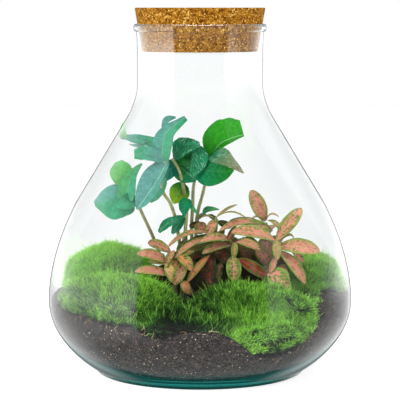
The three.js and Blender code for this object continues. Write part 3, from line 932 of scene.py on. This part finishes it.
# A blade follows the places of its rib. Without halves it is an oval of the given width in mm.
def leafBlade(rib, width, face, chance, details):
    look = {**leafBasics, **details}
    rib = [seen(place) for place in rib]
    length = (rib[-1] - rib[0]).length
    towards = (rib[-1] - rib[0]).normalized()
    up = Vector(face)
    up = (up - towards * up.dot(towards)).normalized()
    bow = 4 * look["arch"] * length
    left, right = zip(*look["halves"]) if look["halves"] else (None, None)
    tint, tipTint, rightTint = (look["tints"].get(look[name]) for name in ("tint", "tipTint", "rightTint"))

    bpy.ops.object.select_all(action="DESELECT")
    bpy.ops.mesh.primitive_grid_add(x_subdivisions=look["columns"], y_subdivisions=look["rows"], size=1)
    blade = bpy.context.object
    places = []
    for vertex in blade.data.vertices:
        column = vertex.co.x * 2
        t = 0.5 - 0.5 * math.cos(math.pi * (vertex.co.y + 0.5))
        ahead, behind = min(1, t + 0.02), max(0, t - 0.02)
        centre = between(rib, t) + up * (bow * t * (1 - t))
        tangent = between(rib, ahead) - between(rib, behind)
        tangent += up * (bow * (ahead * (1 - ahead) - behind * (1 - behind)))
        across = tangent.cross(up).normalized()
        normal = across.cross(tangent).normalized()
        if look["halves"]:
            half = max(0.3, between(right if column > 0 else left, t))
            half *= min(1, 0.25 + 9 * t)
        else:
            half = width / 2 * max(0.03, ovalShare(t))
        half *= 1 + 0.06 * noise.noise(Vector((t * 7, chance * 9, math.copysign(3, column))))
        reach = half * column
        ripple = look["wave"] * math.sin(9 * t + 2 * column) * abs(column) * math.sin(math.pi * t)
        vein = (t * length - abs(reach) * look["veinSlant"]) / look["veinGap"]
        swell = look["quilt"] * abs(math.sin(math.pi * vein)) * min(1, abs(reach) / 3)
        swell *= math.sin(math.pi * t) ** 0.5
        lift = look["fold"] * abs(reach) * min(1, 8 * t) + ripple + swell
        colour = tint
        if tipTint:
            colour = mixOf(colour, tipTint, min(1, max(0, 1.6 * t - 0.3)))
        # painted shade and sheen on the right half of the leaf
        if rightTint:
            colour = mixOf(colour, rightTint, min(1, max(0, 0.5 + 2.5 * column)))
        places.append((centre + across * reach + normal * lift, column, reach, t * length, colour))
    kept = blade.data.attributes
    for name in ("column", "silver", "shade", "midrib"):
        kept.new(name, "FLOAT", "POINT")
    kept.new("spot", "FLOAT_VECTOR", "POINT")
    kept.new("tint", "FLOAT_COLOR", "POINT")
    for index, (place, column, reach, run, colour) in enumerate(places):
        blade.data.vertices[index].co = place * mm
        kept["column"].data[index].value = abs(column)
        for name in ("silver", "shade", "midrib"):
            kept[name].data[index].value = look[name]
        kept["spot"].data[index].vector = (reach, run, chance * 50)
        kept["tint"].data[index].color = (*colour, 1)
    blade.data.update()
    applyModifier(blade, "SOLIDIFY", thickness=look["thickness"] * mm, offset=0)
    return blade


def stemPath(root, places):
    x, y = root
    ground = soilHeight(x, y)
    return [Vector((x, y, ground - 6)), Vector((x, y, ground + 1)), *[seen(place) for place in places]]


def leafyStem(node, plant, look, leafMaterial, stemMaterial):
    chances = random.Random(look["seed"] + len(node))
    stems = [stemTube(stemPath(plant["root"], plant["stem"]), look["thick"], look["thin"])]
    for twig in plant.get("twigs", []):
        stems.append(stemTube([seen(place) for place in twig], look["thin"], look["thin"] * 0.7))
    blades = []
    for rib, width, face, more in plant["leaves"]:
        details = {**look["leaf"], **more}
        blades.append(leafBlade(rib, width * look["wider"], face, chances.random(), details))
    leaves = joinAll(blades, "leaves")
    giveMaterial(leaves, leafMaterial)
    stem = joinAll(stems, "stems")
    giveMaterial(stem, stemMaterial)
    whole = joinAll([leaves, stem], node + "_plant")
    bpy.ops.object.shade_smooth_by_angle(angle=math.radians(look["sharp"]))
    standFor(whole, node)


# The green plant

front = (0, -1, 0.25)
greenTints = {
    "teal": (0.045, 0.320, 0.165),
    "sea": (0.070, 0.300, 0.245),
    "blue": (0.095, 0.305, 0.275),
    "pale": (0.095, 0.410, 0.090),
    "leafy": (0.070, 0.380, 0.130),
    "light": (0.190, 0.480, 0.190),
    "bright": (0.022, 0.340, 0.006),
    "grass": (0.018, 0.290, 0.005),
    "deep": (0.002, 0.195, 0.076),
    "green": (0.008, 0.210, 0.020),
    "dark": (0.008, 0.185, 0.120),
    "lime": (0.330, 0.560, 0.010),
    "brown": (0.240, 0.200, 0.110),
    "grey": (0.240, 0.400, 0.350),
}
greenPlant = {
    "frond_low_left": {
        "root": (-22, 26),
        "stem": [(-31, 90, 22), (-38, 109, 14), (-47, 129, 4), (-54, 144, -3), (-57, 149, -5)],
        "leaves": [
            leaf([(-54, 146, -4), (-70, 143, -8), (-87, 139, -10)], 0, (0.2, -1, 0.5),
                halves=[(12, 7), (16, 11), (17.5, 12), (15, 9), (3, 2)], fold=-0.12, arch=0.06,
                tint="teal", rightTint="sea", midrib=0.1,
            ),
            leaf([(-58, 151, -4), (-63, 163, -3), (-67, 174, -2)], 0, (-0.1, -1, 0),
                halves=[(4, 4), (8, 7), (10, 9), (9.5, 8), (3, 3)], arch=0.05, fold=0.1,
                tint="pale", midrib=0.05,
            ),
            leaf([(-63, 140, -12), (-59, 153, -11), (-55, 163, -10), (-48, 172, -9)], 0, (-0.3, -1, 0),
                halves=[(6, 7), (7, 8), (5.5, 5.5), (3.4, 3.2), (0.8, 0.8)], arch=0.03,
                tint="leafy", rightTint="teal", midrib=0.1,
            ),
            # painted shadow: a small dark lobe where the leaf above casts its shadow on the big round leaf
            leaf([(-54, 146, -7), (-60, 140, -13), (-69, 137, -15)], 0, (0.2, -1, 0.3),
                halves=[(4, 4), (7, 6), (2, 2)], tint="deep", tipTint="teal", midrib=0.0,
            ),
        ],
    },
    "frond_tall_left": {
        "root": (-16, 16),
        "stem": [
            (-16, 90, 12), (-18, 114, 6), (-24, 138, -2), (-31, 150, -8), (-32, 162, -11), (-29, 175, -12),
        ],
        "leaves": [
            leaf([(-31, 172, -12), (-30, 188, -13), (-26, 199, -14), (-12, 210, -16)], 0, (-0.2, -1, 0),
                halves=[(4, 5), (9, 7.5), (7.5, 8), (4, 6), (1.5, 3)], arch=0.04, fold=0.18,
                tint="sea", rightTint="teal",
            ),
            leaf([(-31, 201, -12), (-27, 208, -12), (-20, 210, -12)], 0, front,
                halves=[(1, 1), (2.5, 3), (0.8, 0.8)], tint="sea", midrib=0.0,
            ),
            leaf([(-34, 187, -12), (-49, 191, -9), (-62, 194, -6)], 0, (0, -1, 0.6),
                halves=[(3, 6), (3.5, 5.5), (3.4, 4.2), (2, 2)], arch=-0.03, wave=0.8,
                tint="teal", tipTint="sea", midrib=0.15,
            ),
            leaf([(-62, 192, -6), (-64, 199, -5), (-61, 209, -4)], 0, (0.2, -1, 0),
                halves=[(2.8, 2.8), (3, 2.6), (0.4, 0.4)], tint="light", midrib=0.1,
            ),
            leaf([(-42, 190, -9), (-50, 188, -9), (-58, 188, -8)], 0, (0, -1, -0.4),
                halves=[(0.8, 0.8), (2, 1.5), (0.4, 0.4)], tint="grey", midrib=0.0,
            ),
            leaf([(-29, 176, -12), (-43, 180, -18), (-54, 180, -20)], 0, (0, -1, 0.4),
                halves=[(4, 4), (6, 5.5), (6, 5.5), (4.5, 3.4)], arch=0.03,
                tint="blue", tipTint="teal", midrib=0.2,
            ),
            leaf([(-26, 176, -10), (-33, 162, -15), (-40, 151, -20), (-47, 141, -23), (-52, 134, -24)], 0,
                (0.2, -1, 0.3),
                halves=[(2.5, 4), (3.5, 12), (5, 12.5), (4.5, 8), (0.8, 1)], arch=0.05, fold=0.12,
                tint="sea", rightTint="blue", midrib=0.7, quilt=0.6,
            ),
            leaf([(-28, 160, -10), (-35, 149, -7), (-41, 140, -4)], 0, front,
                halves=[(2, 2), (5, 4.5), (4.5, 4), (1, 1)], arch=0.04, tint="teal",
            ),
            leaf([(-30, 168, -10), (-32, 178, 8), (-34, 186, 22)], 16, (-0.4, 0.3, 1), tint="deep"),
        ],
    },
    "frond_middle": {
        "root": (-8, 30),
        "stem": [
            (-10, 90, 27), (-12, 115, 20), (-12, 140, 8), (-15, 158, -2), (-18, 168, -6), (-23, 176, -4),
        ],
        "leaves": [
            leaf([(-22, 177, 0), (-12, 184, -4), (0, 188, -8)], 0, (0.1, -1, 0.7),
                halves=[(3, 4), (7.5, 8), (7, 8), (1.5, 2)], wave=1.6, quilt=1.2,
                tint="deep", silver=1.0, midrib=0.0,
            ),
            leaf([(0, 186, -3), (-2, 174, -5), (-7, 161, -6)], 0, (0.2, -1, 0.3),
                halves=[(3, 3), (7, 6), (6, 5), (1, 1)], wave=1.4, quilt=1.2,
                tint="deep", silver=1.0, midrib=0.0,
            ),
            leaf([(-19, 180, 8), (-6, 176, 6), (6, 172, 6)], 0, front,
                halves=[(6, 6), (10, 11), (11, 12), (5, 6)], tint="green", tipTint="dark", midrib=0.0,
            ),
            leaf([(-16, 172, 4), (-25, 166, 2), (-31, 157, 0)], 0, front,
                halves=[(3, 3), (7, 7), (6, 5), (1.5, 1.5)], tint="dark", midrib=0.1,
            ),
            leaf([(-21, 174, 4), (-11, 165, 2), (-3, 158, 0)], 0, (0.2, -1, -0.2),
                halves=[(3, 3), (9, 9), (8, 8), (1.5, 1.5)], tint="green", tipTint="deep", silver=0.35,
            ),
            leaf([(-13, 156, 8), (-18, 147, 6), (-22, 139, 4)], 0, (0.1, -1, 0.1),
                halves=[(3, 3), (8.5, 8), (7, 7), (1, 1)], arch=0.08, tint="green", tipTint="lime",
            ),
        ],
    },
    "frond_right": {
        "root": (-1, 24),
        "stem": [(-5, 90, 21), (-7, 115, 17), (-6, 138, 12), (-5, 155, 8), (-1, 168, 3), (4, 172, 0)],
        "leaves": [
            leaf([(-4, 169, 3), (8, 166, -6), (19, 165, -10), (28, 167, -13)], 0, (0.1, -1, 0.1),
                halves=[(4, 6), (10, 12), (11, 11.5), (7, 7), (1, 1)], arch=0.06, fold=0.12,
                tint="deep", tipTint="green", midrib=0.1,
            ),
            leaf([(8, 179, -1), (21, 173, -14), (36, 164, -18)], 0, (0.2, -1, 0.5),
                halves=[(3, 4), (8, 8), (5, 5), (0.5, 0.5)], arch=0.1, wave=1.2, quilt=0.9,
                tint="deep", tipTint="brown", silver=1.0, midrib=0.0,
            ),
            leaf([(-3, 162, 6), (-9, 170, 24), (-14, 174, 42)], 20, (0.1, 0.3, 1), tint="deep"),
        ],
    },
    "frond_top_right": {
        "root": (6, 30),
        "stem": [(-1, 90, 28), (-3, 124, 24), (3, 150, 18), (6, 165, 11), (7, 174, 7)],
        "twigs": [[(-3, 121, 24), (-1, 127, 20), (3, 131, 15)]],
        "leaves": [
            leaf([(7, 175, 7), (16, 188, 6), (26, 193, 4), (36, 196, 3)], 0, (-0.1, -1, -0.1),
                halves=[(2, 1.5), (14, 4), (18, 4), (16.5, 3), (12, 1.5)], fold=0.1, arch=0.05,
                tint="bright", rightTint="grass", midrib=0.7,
            ),
            leaf([(12, 178, 6), (16, 181, 5), (20, 182, 5)], 0, front,
                halves=[(1, 1), (2.5, 2.5), (0.5, 0.5)], tint="lime", midrib=0.0,
            ),
            leaf([(2, 130, 16), (8, 133, 12), (16, 134, 6)], 0, (0, -0.9, 0.6),
                halves=[(1, 1), (2.8, 3.2), (2.2, 2.4), (0.4, 0.4)], tint="deep", tipTint="leafy",
            ),
            leaf([(-1, 127, 20), (6, 126, 29), (14, 122, 38)], 10, (0.3, 0.3, 1), tint="deep"),
        ],
    },
    "shoot_low": {
        "root": (-20, 8),
        "stem": [(-16, 90, 4), (-13, 112, 1), (-11, 127, -1), (-11, 139, -3)],
        "leaves": [
            leaf([(-8, 142, -3), (-12, 137, -6), (-13, 129, -8)], 0, (-0.2, -1, 0.2),
                halves=[(2, 2), (5, 5), (4.6, 4.6), (1, 1)], tint="deep", midrib=0.1,
            ),
            leaf([(-10, 140, -3), (-6, 135, -4), (-2, 130, -4)], 0, front,
                halves=[(1, 1), (1.6, 1.8), (0.4, 0.4)], tint="leafy", midrib=0.0,
            ),
            leaf([(-12, 128, -1), (-26, 122, -5), (-34, 115, -8)], 0, (0, -0.8, 0.6),
                halves=[(1, 1.5), (4.5, 4), (3.6, 3.4), (1.4, 1.4)], arch=0.05, wave=1.0, quilt=0.8,
                tint="deep", silver=0.7,
            ),
            leaf([(-12, 130, 0), (-18, 121, 2), (-23, 114, 3)], 0, front,
                halves=[(1.5, 1.5), (4, 4), (1, 1)], tint="deep", tipTint="teal",
            ),
        ],
    },
}
greenLook = {
    "seed": 11,
    "thick": 1.75,  # of the stem at its foot, mm
    "thin": 1.15,
    "wider": 1.0,
    "sharp": 45,  # degrees
    "leaf": {"tints": greenTints},
    "mottled": (0.10, 0.32, 0.20),
    "veins": (0.30, 0.60, 0.36),
    "crests": (0.27, 0.54, 0.39),
    "midrib": (0.45, 0.68, 0.42),
    "stem": [(0.0, (0.25, 0.26, 0.08)), (0.5, (0.36, 0.37, 0.16)), (1.0, (0.32, 0.42, 0.18))],
    "stemHeights": (0.07, 0.18),  # m
    "blotches": (0.20, 0.12, 0.06),
}


def greenLeafMaterial():
    greenLeaf = newMaterial("greenLeaf", Roughness=0.42, Specular_IOR_Level=0.15)
    tint = attributeOf("tint", "Color")
    spotVector = attributeOf("spot", "Vector")
    spot = partsOf(spotVector)
    reach = maths("ABSOLUTE", spot["X"])
    mottled = noiseOf(spotVector, 0.35, 4)
    darker = mixed(0.45, tint, greenLook["mottled"], "MULTIPLY")
    tone = mixed(rangeOf(mottled, 0.35, 0.65), darker, tint)
    # side veins run forward from the midrib
    run = minus(spot["Y"], times(reach, leafBasics["veinSlant"]))
    count = plus(maths("DIVIDE", run, leafBasics["veinGap"]), times(mottled, 0.4))
    veins = rangeOf(maths("ABSOLUTE", minus(maths("FRACT", count), 0.5)), 0.44, 0.5)
    tone = mixed(times(veins, 0.16), tone, greenLook["veins"])
    # pale crests on the crinkled leaves: partly their silvery colour, partly painted highlights on the ridges
    # of the quilting
    crests = addNode("ShaderNodeTexWave", {
        "Vector": spotVector, "Scale": 0.2, "Distortion": 9, "Detail": 4, "Detail Scale": 1.6,
    }, bands_direction="DIAGONAL")["Fac"]
    crest = times(rangeOf(crests, 0.5, 1.0), attributeOf("silver"))
    crest = times(crest, rangeOf(noiseOf(spotVector, 0.14), 0.4, 0.66, 0.05, 0.6))
    tone = mixed(crest, tone, greenLook["crests"])
    midrib = times(rangeOf(reach, 0.1, 0.45, 0.75, 0.0), attributeOf("midrib"))
    intoShader("Base Color", mixed(midrib, tone, greenLook["midrib"]))
    bumpInto(minus(mottled, plus(veins, midrib)), 0.35, 0.0006)
    return greenLeaf


def petioleMaterial():
    petiole = newMaterial("petiole", Roughness=0.55)
    place = objectPlace()
    tone = rampOf(rangeOf(partsOf(place)["Z"], *greenLook["stemHeights"]), greenLook["stem"])
    blotched = rangeOf(noiseOf(place, 180, 3), 0.45, 0.7, 0.0, 0.6)
    intoShader("Base Color", mixed(blotched, tone, greenLook["blotches"]))
    return petiole


def makePlant(stems, look, leafMaterial, stemMaterial):
    for node, plant in stems.items():
        leafyStem(node, plant, look, leafMaterial, stemMaterial)


makePlant(greenPlant, greenLook, greenLeafMaterial(), petioleMaterial())
print("green plant is made")


# The nerve plant

lying = (0, -0.7, 0.8)
facing = (0, -1, 0.3)
nerveTints = {
    "salmon": (0.51, 0.185, 0.120),
    "orange": (0.54, 0.190, 0.050),
    "yellow": (0.56, 0.36, 0.105),
    "olive": (0.29, 0.23, 0.080),
    # painted shade: the muted grey-brown of filler leaves that lie in shade behind the others
    "dusk": (0.22, 0.140, 0.095),
    "red": (0.50, 0.040, 0.015),
}
nervePlant = {
    "nerve_right": {
        "root": (61, -4),
        "stem": [(63, 84, -8), (64, 95, -13), (64, 106, -16)],
        "leaves": [
            leaf([(63, 108, -16), (84, 135, -10)], 10.5, (-0.3, -1, 0.2), arch=0.05, silver=0.55),
            leaf([(64, 103, -16), (99, 99, -20)], 12.5, (0, -0.9, 0.6), silver=0.35),
            leaf([(65, 100, -15), (87, 72, -26)], 9.5, (0.4, -0.9, 0.4), silver=0.4),
            leaf([(63, 108, -16), (64, 92, -26)], 6.5, (0, -1, 0.5), arch=0.15, fold=0.5, tint="olive"),
            leaf([(62, 108, -16), (26, 115, -24)], 12, lying, silver=0.3),
            leaf([(63, 95, -22), (58, 81, -27)], 4.5, (0, -1, 0.3), fold=0.5, silver=0.0),
            leaf([(56, 80, -27), (66, 75, -30), (75, 66, -34)], 0, (0.2, -0.9, 0.4),
                halves=[(2, 2), (8, 8), (9, 7), (5, 4), (1, 1)], silver=0.95, fold=0.1,
            ),
            leaf([(69, 110, -14), (78, 107, -12)], 4, (0, -0.3, 1), arch=0.45),
            leaf([(75, 102, -6), (86, 90, -4)], 5, facing),
            leaf([(66, 106, -15), (70, 118, -10)], 3.5, facing, tint="olive"),
            leaf([(63, 86, -9), (72, 79, -18)], 10, lying, shade=0.5),
            leaf([(63, 88, -10), (52, 78, -18)], 9, lying, shade=0.6),
            leaf([(64, 97, -14), (84, 99, 10)], 11, (0.2, 0.4, 1), arch=0.2),
        ],
    },
    "nerve_back_right": {
        "root": (54, 26),
        "stem": [(56, 92, 22), (56, 109, 15), (55, 123, 11)],
        "leaves": [
            leaf([(54, 124, 11), (42, 150, 8)], 11.5, (0.2, -1, 0.1), arch=0.05, silver=0.15),
            leaf([(55, 125, 11), (65, 128, 8)], 3.6, (0, -0.2, 1), arch=0.35),
            leaf([(54, 126, 11), (43, 127, 5)], 3.2, (0, -0.3, 1), tint="olive"),
            leaf([(56, 125, 11), (66, 117, 4)], 5.5, (0.3, -0.5, 0.9), arch=0.15, tint="olive"),
            leaf([(54, 121, 9), (16, 116, -4)], 8, (0, -0.6, 1), arch=0.15),
            leaf([(60, 116, 8), (35, 122, 1)], 8, (0, -0.8, 0.7), silver=1.1),
            leaf([(52, 122, 14), (24, 124, 8)], 5.5, (0, -0.8, 0.6), shade=0.65),
            leaf([(56, 111, 14), (43, 119, 8)], 8, (0, -0.6, 1), arch=0.1),
            leaf([(56, 110, 14), (67, 103, 2)], 8, lying, arch=0.15, shade=0.3),
            leaf([(56, 112, 14), (70, 120, 38)], 10, (0, 0.5, 1), arch=0.15),
            leaf([(56, 110, 14), (42, 112, 36)], 10, (0, 0.5, 1), arch=0.15),
            leaf([(58, 92, 22), (74, 84, 14)], 12, facing, shade=0.7),
        ],
    },
    "nerve_middle": {
        "root": (34, 14),
        "stem": [(36, 84, 10), (33, 95, 4), (28, 106, 0)],
        "leaves": [
            leaf([(27, 107, 0), (0, 107, -14)], 8, lying, arch=0.16, silver=0.4),
            leaf([(27, 104, 0), (2, 97, -14)], 8, lying, arch=0.14, silver=0.35, shade=0.15),
            leaf([(30, 107, 0), (50, 100, -10)], 7.5, (0.2, -0.8, 0.6), arch=0.15),
            leaf([(29, 107, -1), (28, 93, -10)], 5, facing, silver=0.9, fold=0.5),
            leaf([(27, 95, -12), (28, 84, -22), (28, 74, -27)], 11, (0, -1, 0.3), silver=0.95, fold=0.1),
            leaf([(31, 93, -12), (56, 77, -17)], 9, (0, -1, 0.4), shade=0.3, tint="red", silver=0.3),
            # painted shade: broad grey-brown filler leaves in shade behind the middle of the plant
            leaf([(24, 112, 10), (30, 88, 6)], 18, facing, tint="dusk", shade=0.2),
            leaf([(40, 112, 10), (42, 86, 6)], 18, facing, tint="dusk", shade=0.15),
            leaf([(56, 113, 10), (54, 84, 4)], 18, facing, tint="dusk", shade=0.2),
            leaf([(46, 103, 0), (58, 87, -2)], 9.5, facing, shade=0.35),
            leaf([(33, 104, 2), (42, 88, 0)], 8, facing, shade=0.5),
            leaf([(30, 120, 2), (23, 108, -5)], 5, facing, shade=0.5),
            leaf([(38, 95, 5), (50, 82, -4)], 11, (0, -0.9, 0.5), shade=0.75),
            leaf([(28, 104, 2), (34, 106, 28)], 10, (0, 0.4, 1), arch=0.15),
        ],
    },
    "nerve_middle_left": {
        "root": (12, 10),
        "stem": [(12, 90, 6), (11, 104, 3), (12, 118, 0), (13, 127, 0)],
        "leaves": [
            leaf([(13, 127, 0), (31, 138, 5)], 3.4, (0, -0.3, 1), arch=0.06, tint="olive"),
            leaf([(13, 127, 0), (38, 127, -4)], 3.2, (0, -0.2, 1), arch=0.19, tint="olive"),
            leaf([(12, 127, 1), (-3, 123, 7)], 3.8, (0, -0.2, 1), arch=0.2),
            leaf([(13, 126, 0), (6, 113, -5)], 6.8, facing),
            leaf([(13, 128, 0), (13, 114, -3)], 3, facing, silver=1.2),
            leaf([(4, 123, 4), (-3, 114, 0)], 8.5, facing, shade=0.25),
            leaf([(4, 122, 6), (-9, 120, 7)], 5, facing, shade=0.6),
            leaf([(14, 124, 4), (26, 119, 4)], 5.5, facing, silver=0.8, shade=0.5),
            leaf([(11, 113, 1), (-27, 102, -8)], 5.8, (0, -0.5, 1), arch=0.2, silver=0.4),
            leaf([(11, 111, 0), (-21, 93, -12)], 6.2, (-0.2, -0.6, 0.8), arch=0.13, silver=0.2),
            leaf([(11, 108, 0), (-9, 104, -4)], 4, lying, silver=1.2),
            leaf([(10, 113, 4), (-14, 103, 0)], 4, lying, silver=1.0, shade=0.2),
            leaf([(12, 106, 2), (-12, 95, -4)], 5, lying, tint="olive", silver=0.9),
            # painted shade: two broad grey-brown filler leaves in shade behind
            leaf([(14, 110, 8), (6, 86, 6)], 17, facing, tint="dusk", shade=0.35),
            leaf([(-2, 106, 8), (-10, 82, 4)], 17, facing, tint="dusk", shade=0.4),
            leaf([(9, 97, -8), (3, 66, -15)], 14, facing, shade=0.85),
            leaf([(8, 96, -10), (-11, 73, -20)], 5.5, (-0.2, -1, 0.4), arch=0.1, tint="orange", shade=0.25),
            leaf([(18, 91, -6), (8, 68, -14)], 7, (0.3, -1, 0.2), silver=0.6, shade=0.3),
            leaf([(-6, 92, -6), (-3, 66, -11)], 10, facing, shade=0.8),
            leaf([(12, 100, 4), (26, 88, -6)], 11, (0.2, -1, 0.4), arch=0.2, shade=0.7),
            leaf([(12, 112, 2), (18, 112, 24)], 9, (0, 0.4, 1), arch=0.15),
        ],
    },
    "nerve_left": {
        "root": (-18, -2),
        "stem": [(-17, 80, -6), (-17, 88, -9), (-18, 95, -11)],
        "leaves": [
            leaf([(-19, 95, -11), (-7, 83, -19)],
                8.5, (0.1, -0.8, 0.7), arch=0.25, tint="orange", silver=0.6),
            leaf([(-12, 91, -14), (-21, 71, -22)], 8.5, (0, -1, 0.3), arch=0.1, silver=0.45),
            leaf([(-28, 89, -12), (-20, 72, -21)], 8.5, (0.1, -1, 0.3), arch=0.12, tint="yellow", silver=0.1),
            leaf([(-28, 88, -12), (-21, 100, -12)], 4.5, (-0.3, -1, 0.3), arch=0.08),
            leaf([(-28, 88, -11), (-42, 90, -15)], 4.8, lying, arch=0.1, tint="yellow"),
            leaf([(-17, 94, -11), (-5, 99, -14)], 7, lying, silver=0.7, shade=0.3),
            leaf([(-18, 92, -10), (-26, 79, -16)], 9, facing, tint="orange", shade=0.2),
            leaf([(-17, 86, -8), (-6, 74, -14)], 9, facing, shade=0.8),
            # painted shade: a broad grey-brown filler leaf in shade behind
            leaf([(-16, 99, 4), (-24, 80, 0)], 15, facing, tint="dusk", shade=0.4),
            leaf([(-18, 94, -10), (-13, 108, -4)], 6, (-0.3, -1, 0.3), arch=0.08, silver=0.8, shade=0.3),
        ],
    },
    "nerve_far_left": {
        "root": (-32, 2),
        "stem": [(-30, 80, -2), (-29, 86, -5), (-28, 91, -8)],
        "leaves": [
            leaf([(-24, 98, -6), (-43, 107, 1)], 8, (-0.3, -0.7, 0.7), silver=0.4),
            leaf([(-28, 90, -8), (-52, 97, -17)], 9.5, (0, -0.8, 0.7), arch=0.15, silver=0.1),
            leaf([(-23, 78, -10), (-54, 82, -26)], 9.5, (0, -0.7, 0.8), arch=0.1, silver=0.1),
            leaf([(-23, 77, -8), (-46, 74, -20)], 7, facing, shade=0.9),
            leaf([(-28, 86, -6), (-38, 78, -14)], 8, facing, shade=0.5),
            leaf([(-28, 91, -8), (-24, 99, -7)], 3.5, facing, tint="yellow"),
            leaf([(-29, 88, -6), (-42, 92, 20)], 9, (-0.2, 0.4, 1), arch=0.2),
        ],
    },
    "nerve_low": {
        "root": (4, -6),
        "stem": [(3, 78, -9), (3, 84, -11), (3, 91, -12)],
        # painted shade: apart from the first, these are dark filler leaves, painted nearly black, that fill
        # the shaded heart of the plant
        "leaves": [
            leaf([(-15, 75, -20), (-9, 64, -24)], 7, facing, tint="orange", shade=0.1),
            leaf([(2, 88, -10), (-13, 66, -16)], 9, facing, shade=0.9),
            leaf([(12, 88, -6), (18, 71, -12)], 10, facing, shade=0.95),
            leaf([(0, 94, -2), (-4, 68, -8)], 15, facing, shade=1.0),
            leaf([(20, 96, 0), (16, 70, -6)], 15, facing, shade=1.0),
            leaf([(40, 93, 0), (38, 70, -4)], 17, facing, shade=1.0),
            leaf([(51, 94, 2), (53, 71, -2)], 15, facing, shade=0.95),
            leaf([(62, 92, 2), (63, 70, -2)], 14, facing, shade=0.9),
            leaf([(-14, 92, 0), (-12, 69, -6)], 15, facing, shade=1.0),
            leaf([(28, 94, 4), (28, 70, 0)], 16, facing, shade=1.0),
            leaf([(-27, 88, 4), (-28, 69, -2)], 13, facing, shade=0.9),
            leaf([(3, 80, -9), (13, 66, -22)], 8, (0.2, -1, 0.5), arch=0.2, shade=0.9),
        ],
    },
}
nerveLook = {
    "seed": 23,
    "thick": 1.1,  # of the stem at its foot, mm
    "thin": 0.8,
    "wider": 1.15,
    "sharp": 45,  # degrees
    "leaf": {"tints": nerveTints, "tint": "salmon", "rows": 16, "columns": 10, "quilt": 0.25, "silver": 0.2},
    "blush": (0.66, 0.28, 0.20),
    "shadedBlush": (0.24, 0.008, 0.002),  # painted shade: deep in the plant only the red shows
    "cells": ((0.045, 0.12, 0.010), (0.15, 0.23, 0.030)),
    "shadedCells": (0.004, 0.008, 0.003),
    "edge": (0.18, 0.28, 0.045),
    "shadedEdge": (0.006, 0.016, 0.004),
    "midrib": (0.52, 0.30, 0.19),
    # painted shade: the heart of the plant, where shade falls among the leaves, is painted nearly black
    "paintedHeartShade": (0.012, 0.003, 0.002),
    "paintedShadeCentre": (0.034, 0.008, 0.068),  # m
    "paintedShadeReach": (0.022, 0.036),  # m
    "stem": ((0.24, 0.11, 0.05), (0.34, 0.24, 0.09)),
    "stemFoot": (0.03, 0.012, 0.006),
    "stemHeights": (0.085, 0.115),  # m, between which the foot's tone ends
}


def nerveLeafMaterial():
    nerveLeaf = newMaterial("nerveLeaf", Roughness=0.5, Specular_IOR_Level=0.3)
    tint = attributeOf("tint", "Color")
    spotVector = attributeOf("spot", "Vector")
    spot = partsOf(spotVector)
    reach = maths("ABSOLUTE", spot["X"])
    column, shade, silver = (attributeOf(name) for name in ("column", "shade", "silver"))
    # cells between the veins, longer away from the midrib than along it
    slant = minus(spot["Y"], times(reach, 0.8))
    cellPlace = addNode("ShaderNodeCombineXYZ", {"X": times(spot["X"], 0.6), "Y": slant, "Z": spot["Z"]})[0]
    netInputs = {"Vector": cellPlace, "Scale": rangeOf(silver, 0.9, 0.95, 0.52, 0.34)}
    net = addNode("ShaderNodeTexVoronoi", netInputs, feature="DISTANCE_TO_EDGE")["Distance"]
    blush = noiseOf(spotVector, 0.22, 3)
    pale = mixed(0.45, tint, nerveLook["blush"])
    pink = mixed(rangeOf(blush, 0.4, 0.65), tint, pale)
    # painted shade: leaves deep in the plant turn dark red, and their cells and edges nearly black
    pink = mixed(shade, pink, nerveLook["shadedBlush"])
    # green between the veins, more of it towards the edge and on the greener leaves
    outer = times(maths("POWER", column, 2.0), 0.5)
    greenness = plus(outer, plus(times(silver, 0.55), times(shade, 0.5)))
    limit = minus(0.275, times(greenness, 0.36))
    inCell = rangeOf(minus(net, limit), -0.03, 0.05)
    cell = mixed(rangeOf(blush, 0.4, 0.6), *nerveLook["cells"])
    tone = mixed(inCell, pink, mixed(shade, cell, nerveLook["shadedCells"]))
    edge = rangeOf(plus(column, times(blush, 0.3)), 0.84, 0.95)
    edgeTone = mixed(shade, nerveLook["edge"], nerveLook["shadedEdge"])
    tone = mixed(times(edge, 0.75), tone, edgeTone)
    midrib = times(rangeOf(reach, 0.2, 0.6, 0.6, 0.0), minus(1.0, shade))
    tone = mixed(midrib, tone, nerveLook["midrib"])
    # painted shade: and they are painted darker as a whole
    tone = scaled(tone, minus(1.0, times(shade, 0.55)))
    # painted shade: nearly black around the heart of the plant
    fromShadeCentre = {0: objectPlace(), 1: nerveLook["paintedShadeCentre"]}
    away = addNode("ShaderNodeVectorMath", fromShadeCentre, operation="DISTANCE")["Value"]
    paintedHeartShade = rangeOf(away, *nerveLook["paintedShadeReach"], 0.92, 0)
    intoShader("Base Color", mixed(paintedHeartShade, tone, nerveLook["paintedHeartShade"]))
    bumpInto(net, 0.35, 0.0005)
    return nerveLeaf


def nerveStemMaterial():
    nerveStem = newMaterial("nerveStem", Roughness=0.6)
    place = objectPlace()
    tone = mixed(rangeOf(noiseOf(place, 200, 3), 0.4, 0.6), *nerveLook["stem"])
    aboveFoot = rangeOf(partsOf(place)["Z"], *nerveLook["stemHeights"])
    intoShader("Base Color", mixed(aboveFoot, nerveLook["stemFoot"], tone))
    return nerveStem


makePlant(nervePlant, nerveLook, nerveLeafMaterial(), nerveStemMaterial())
print("nerve plant is made")
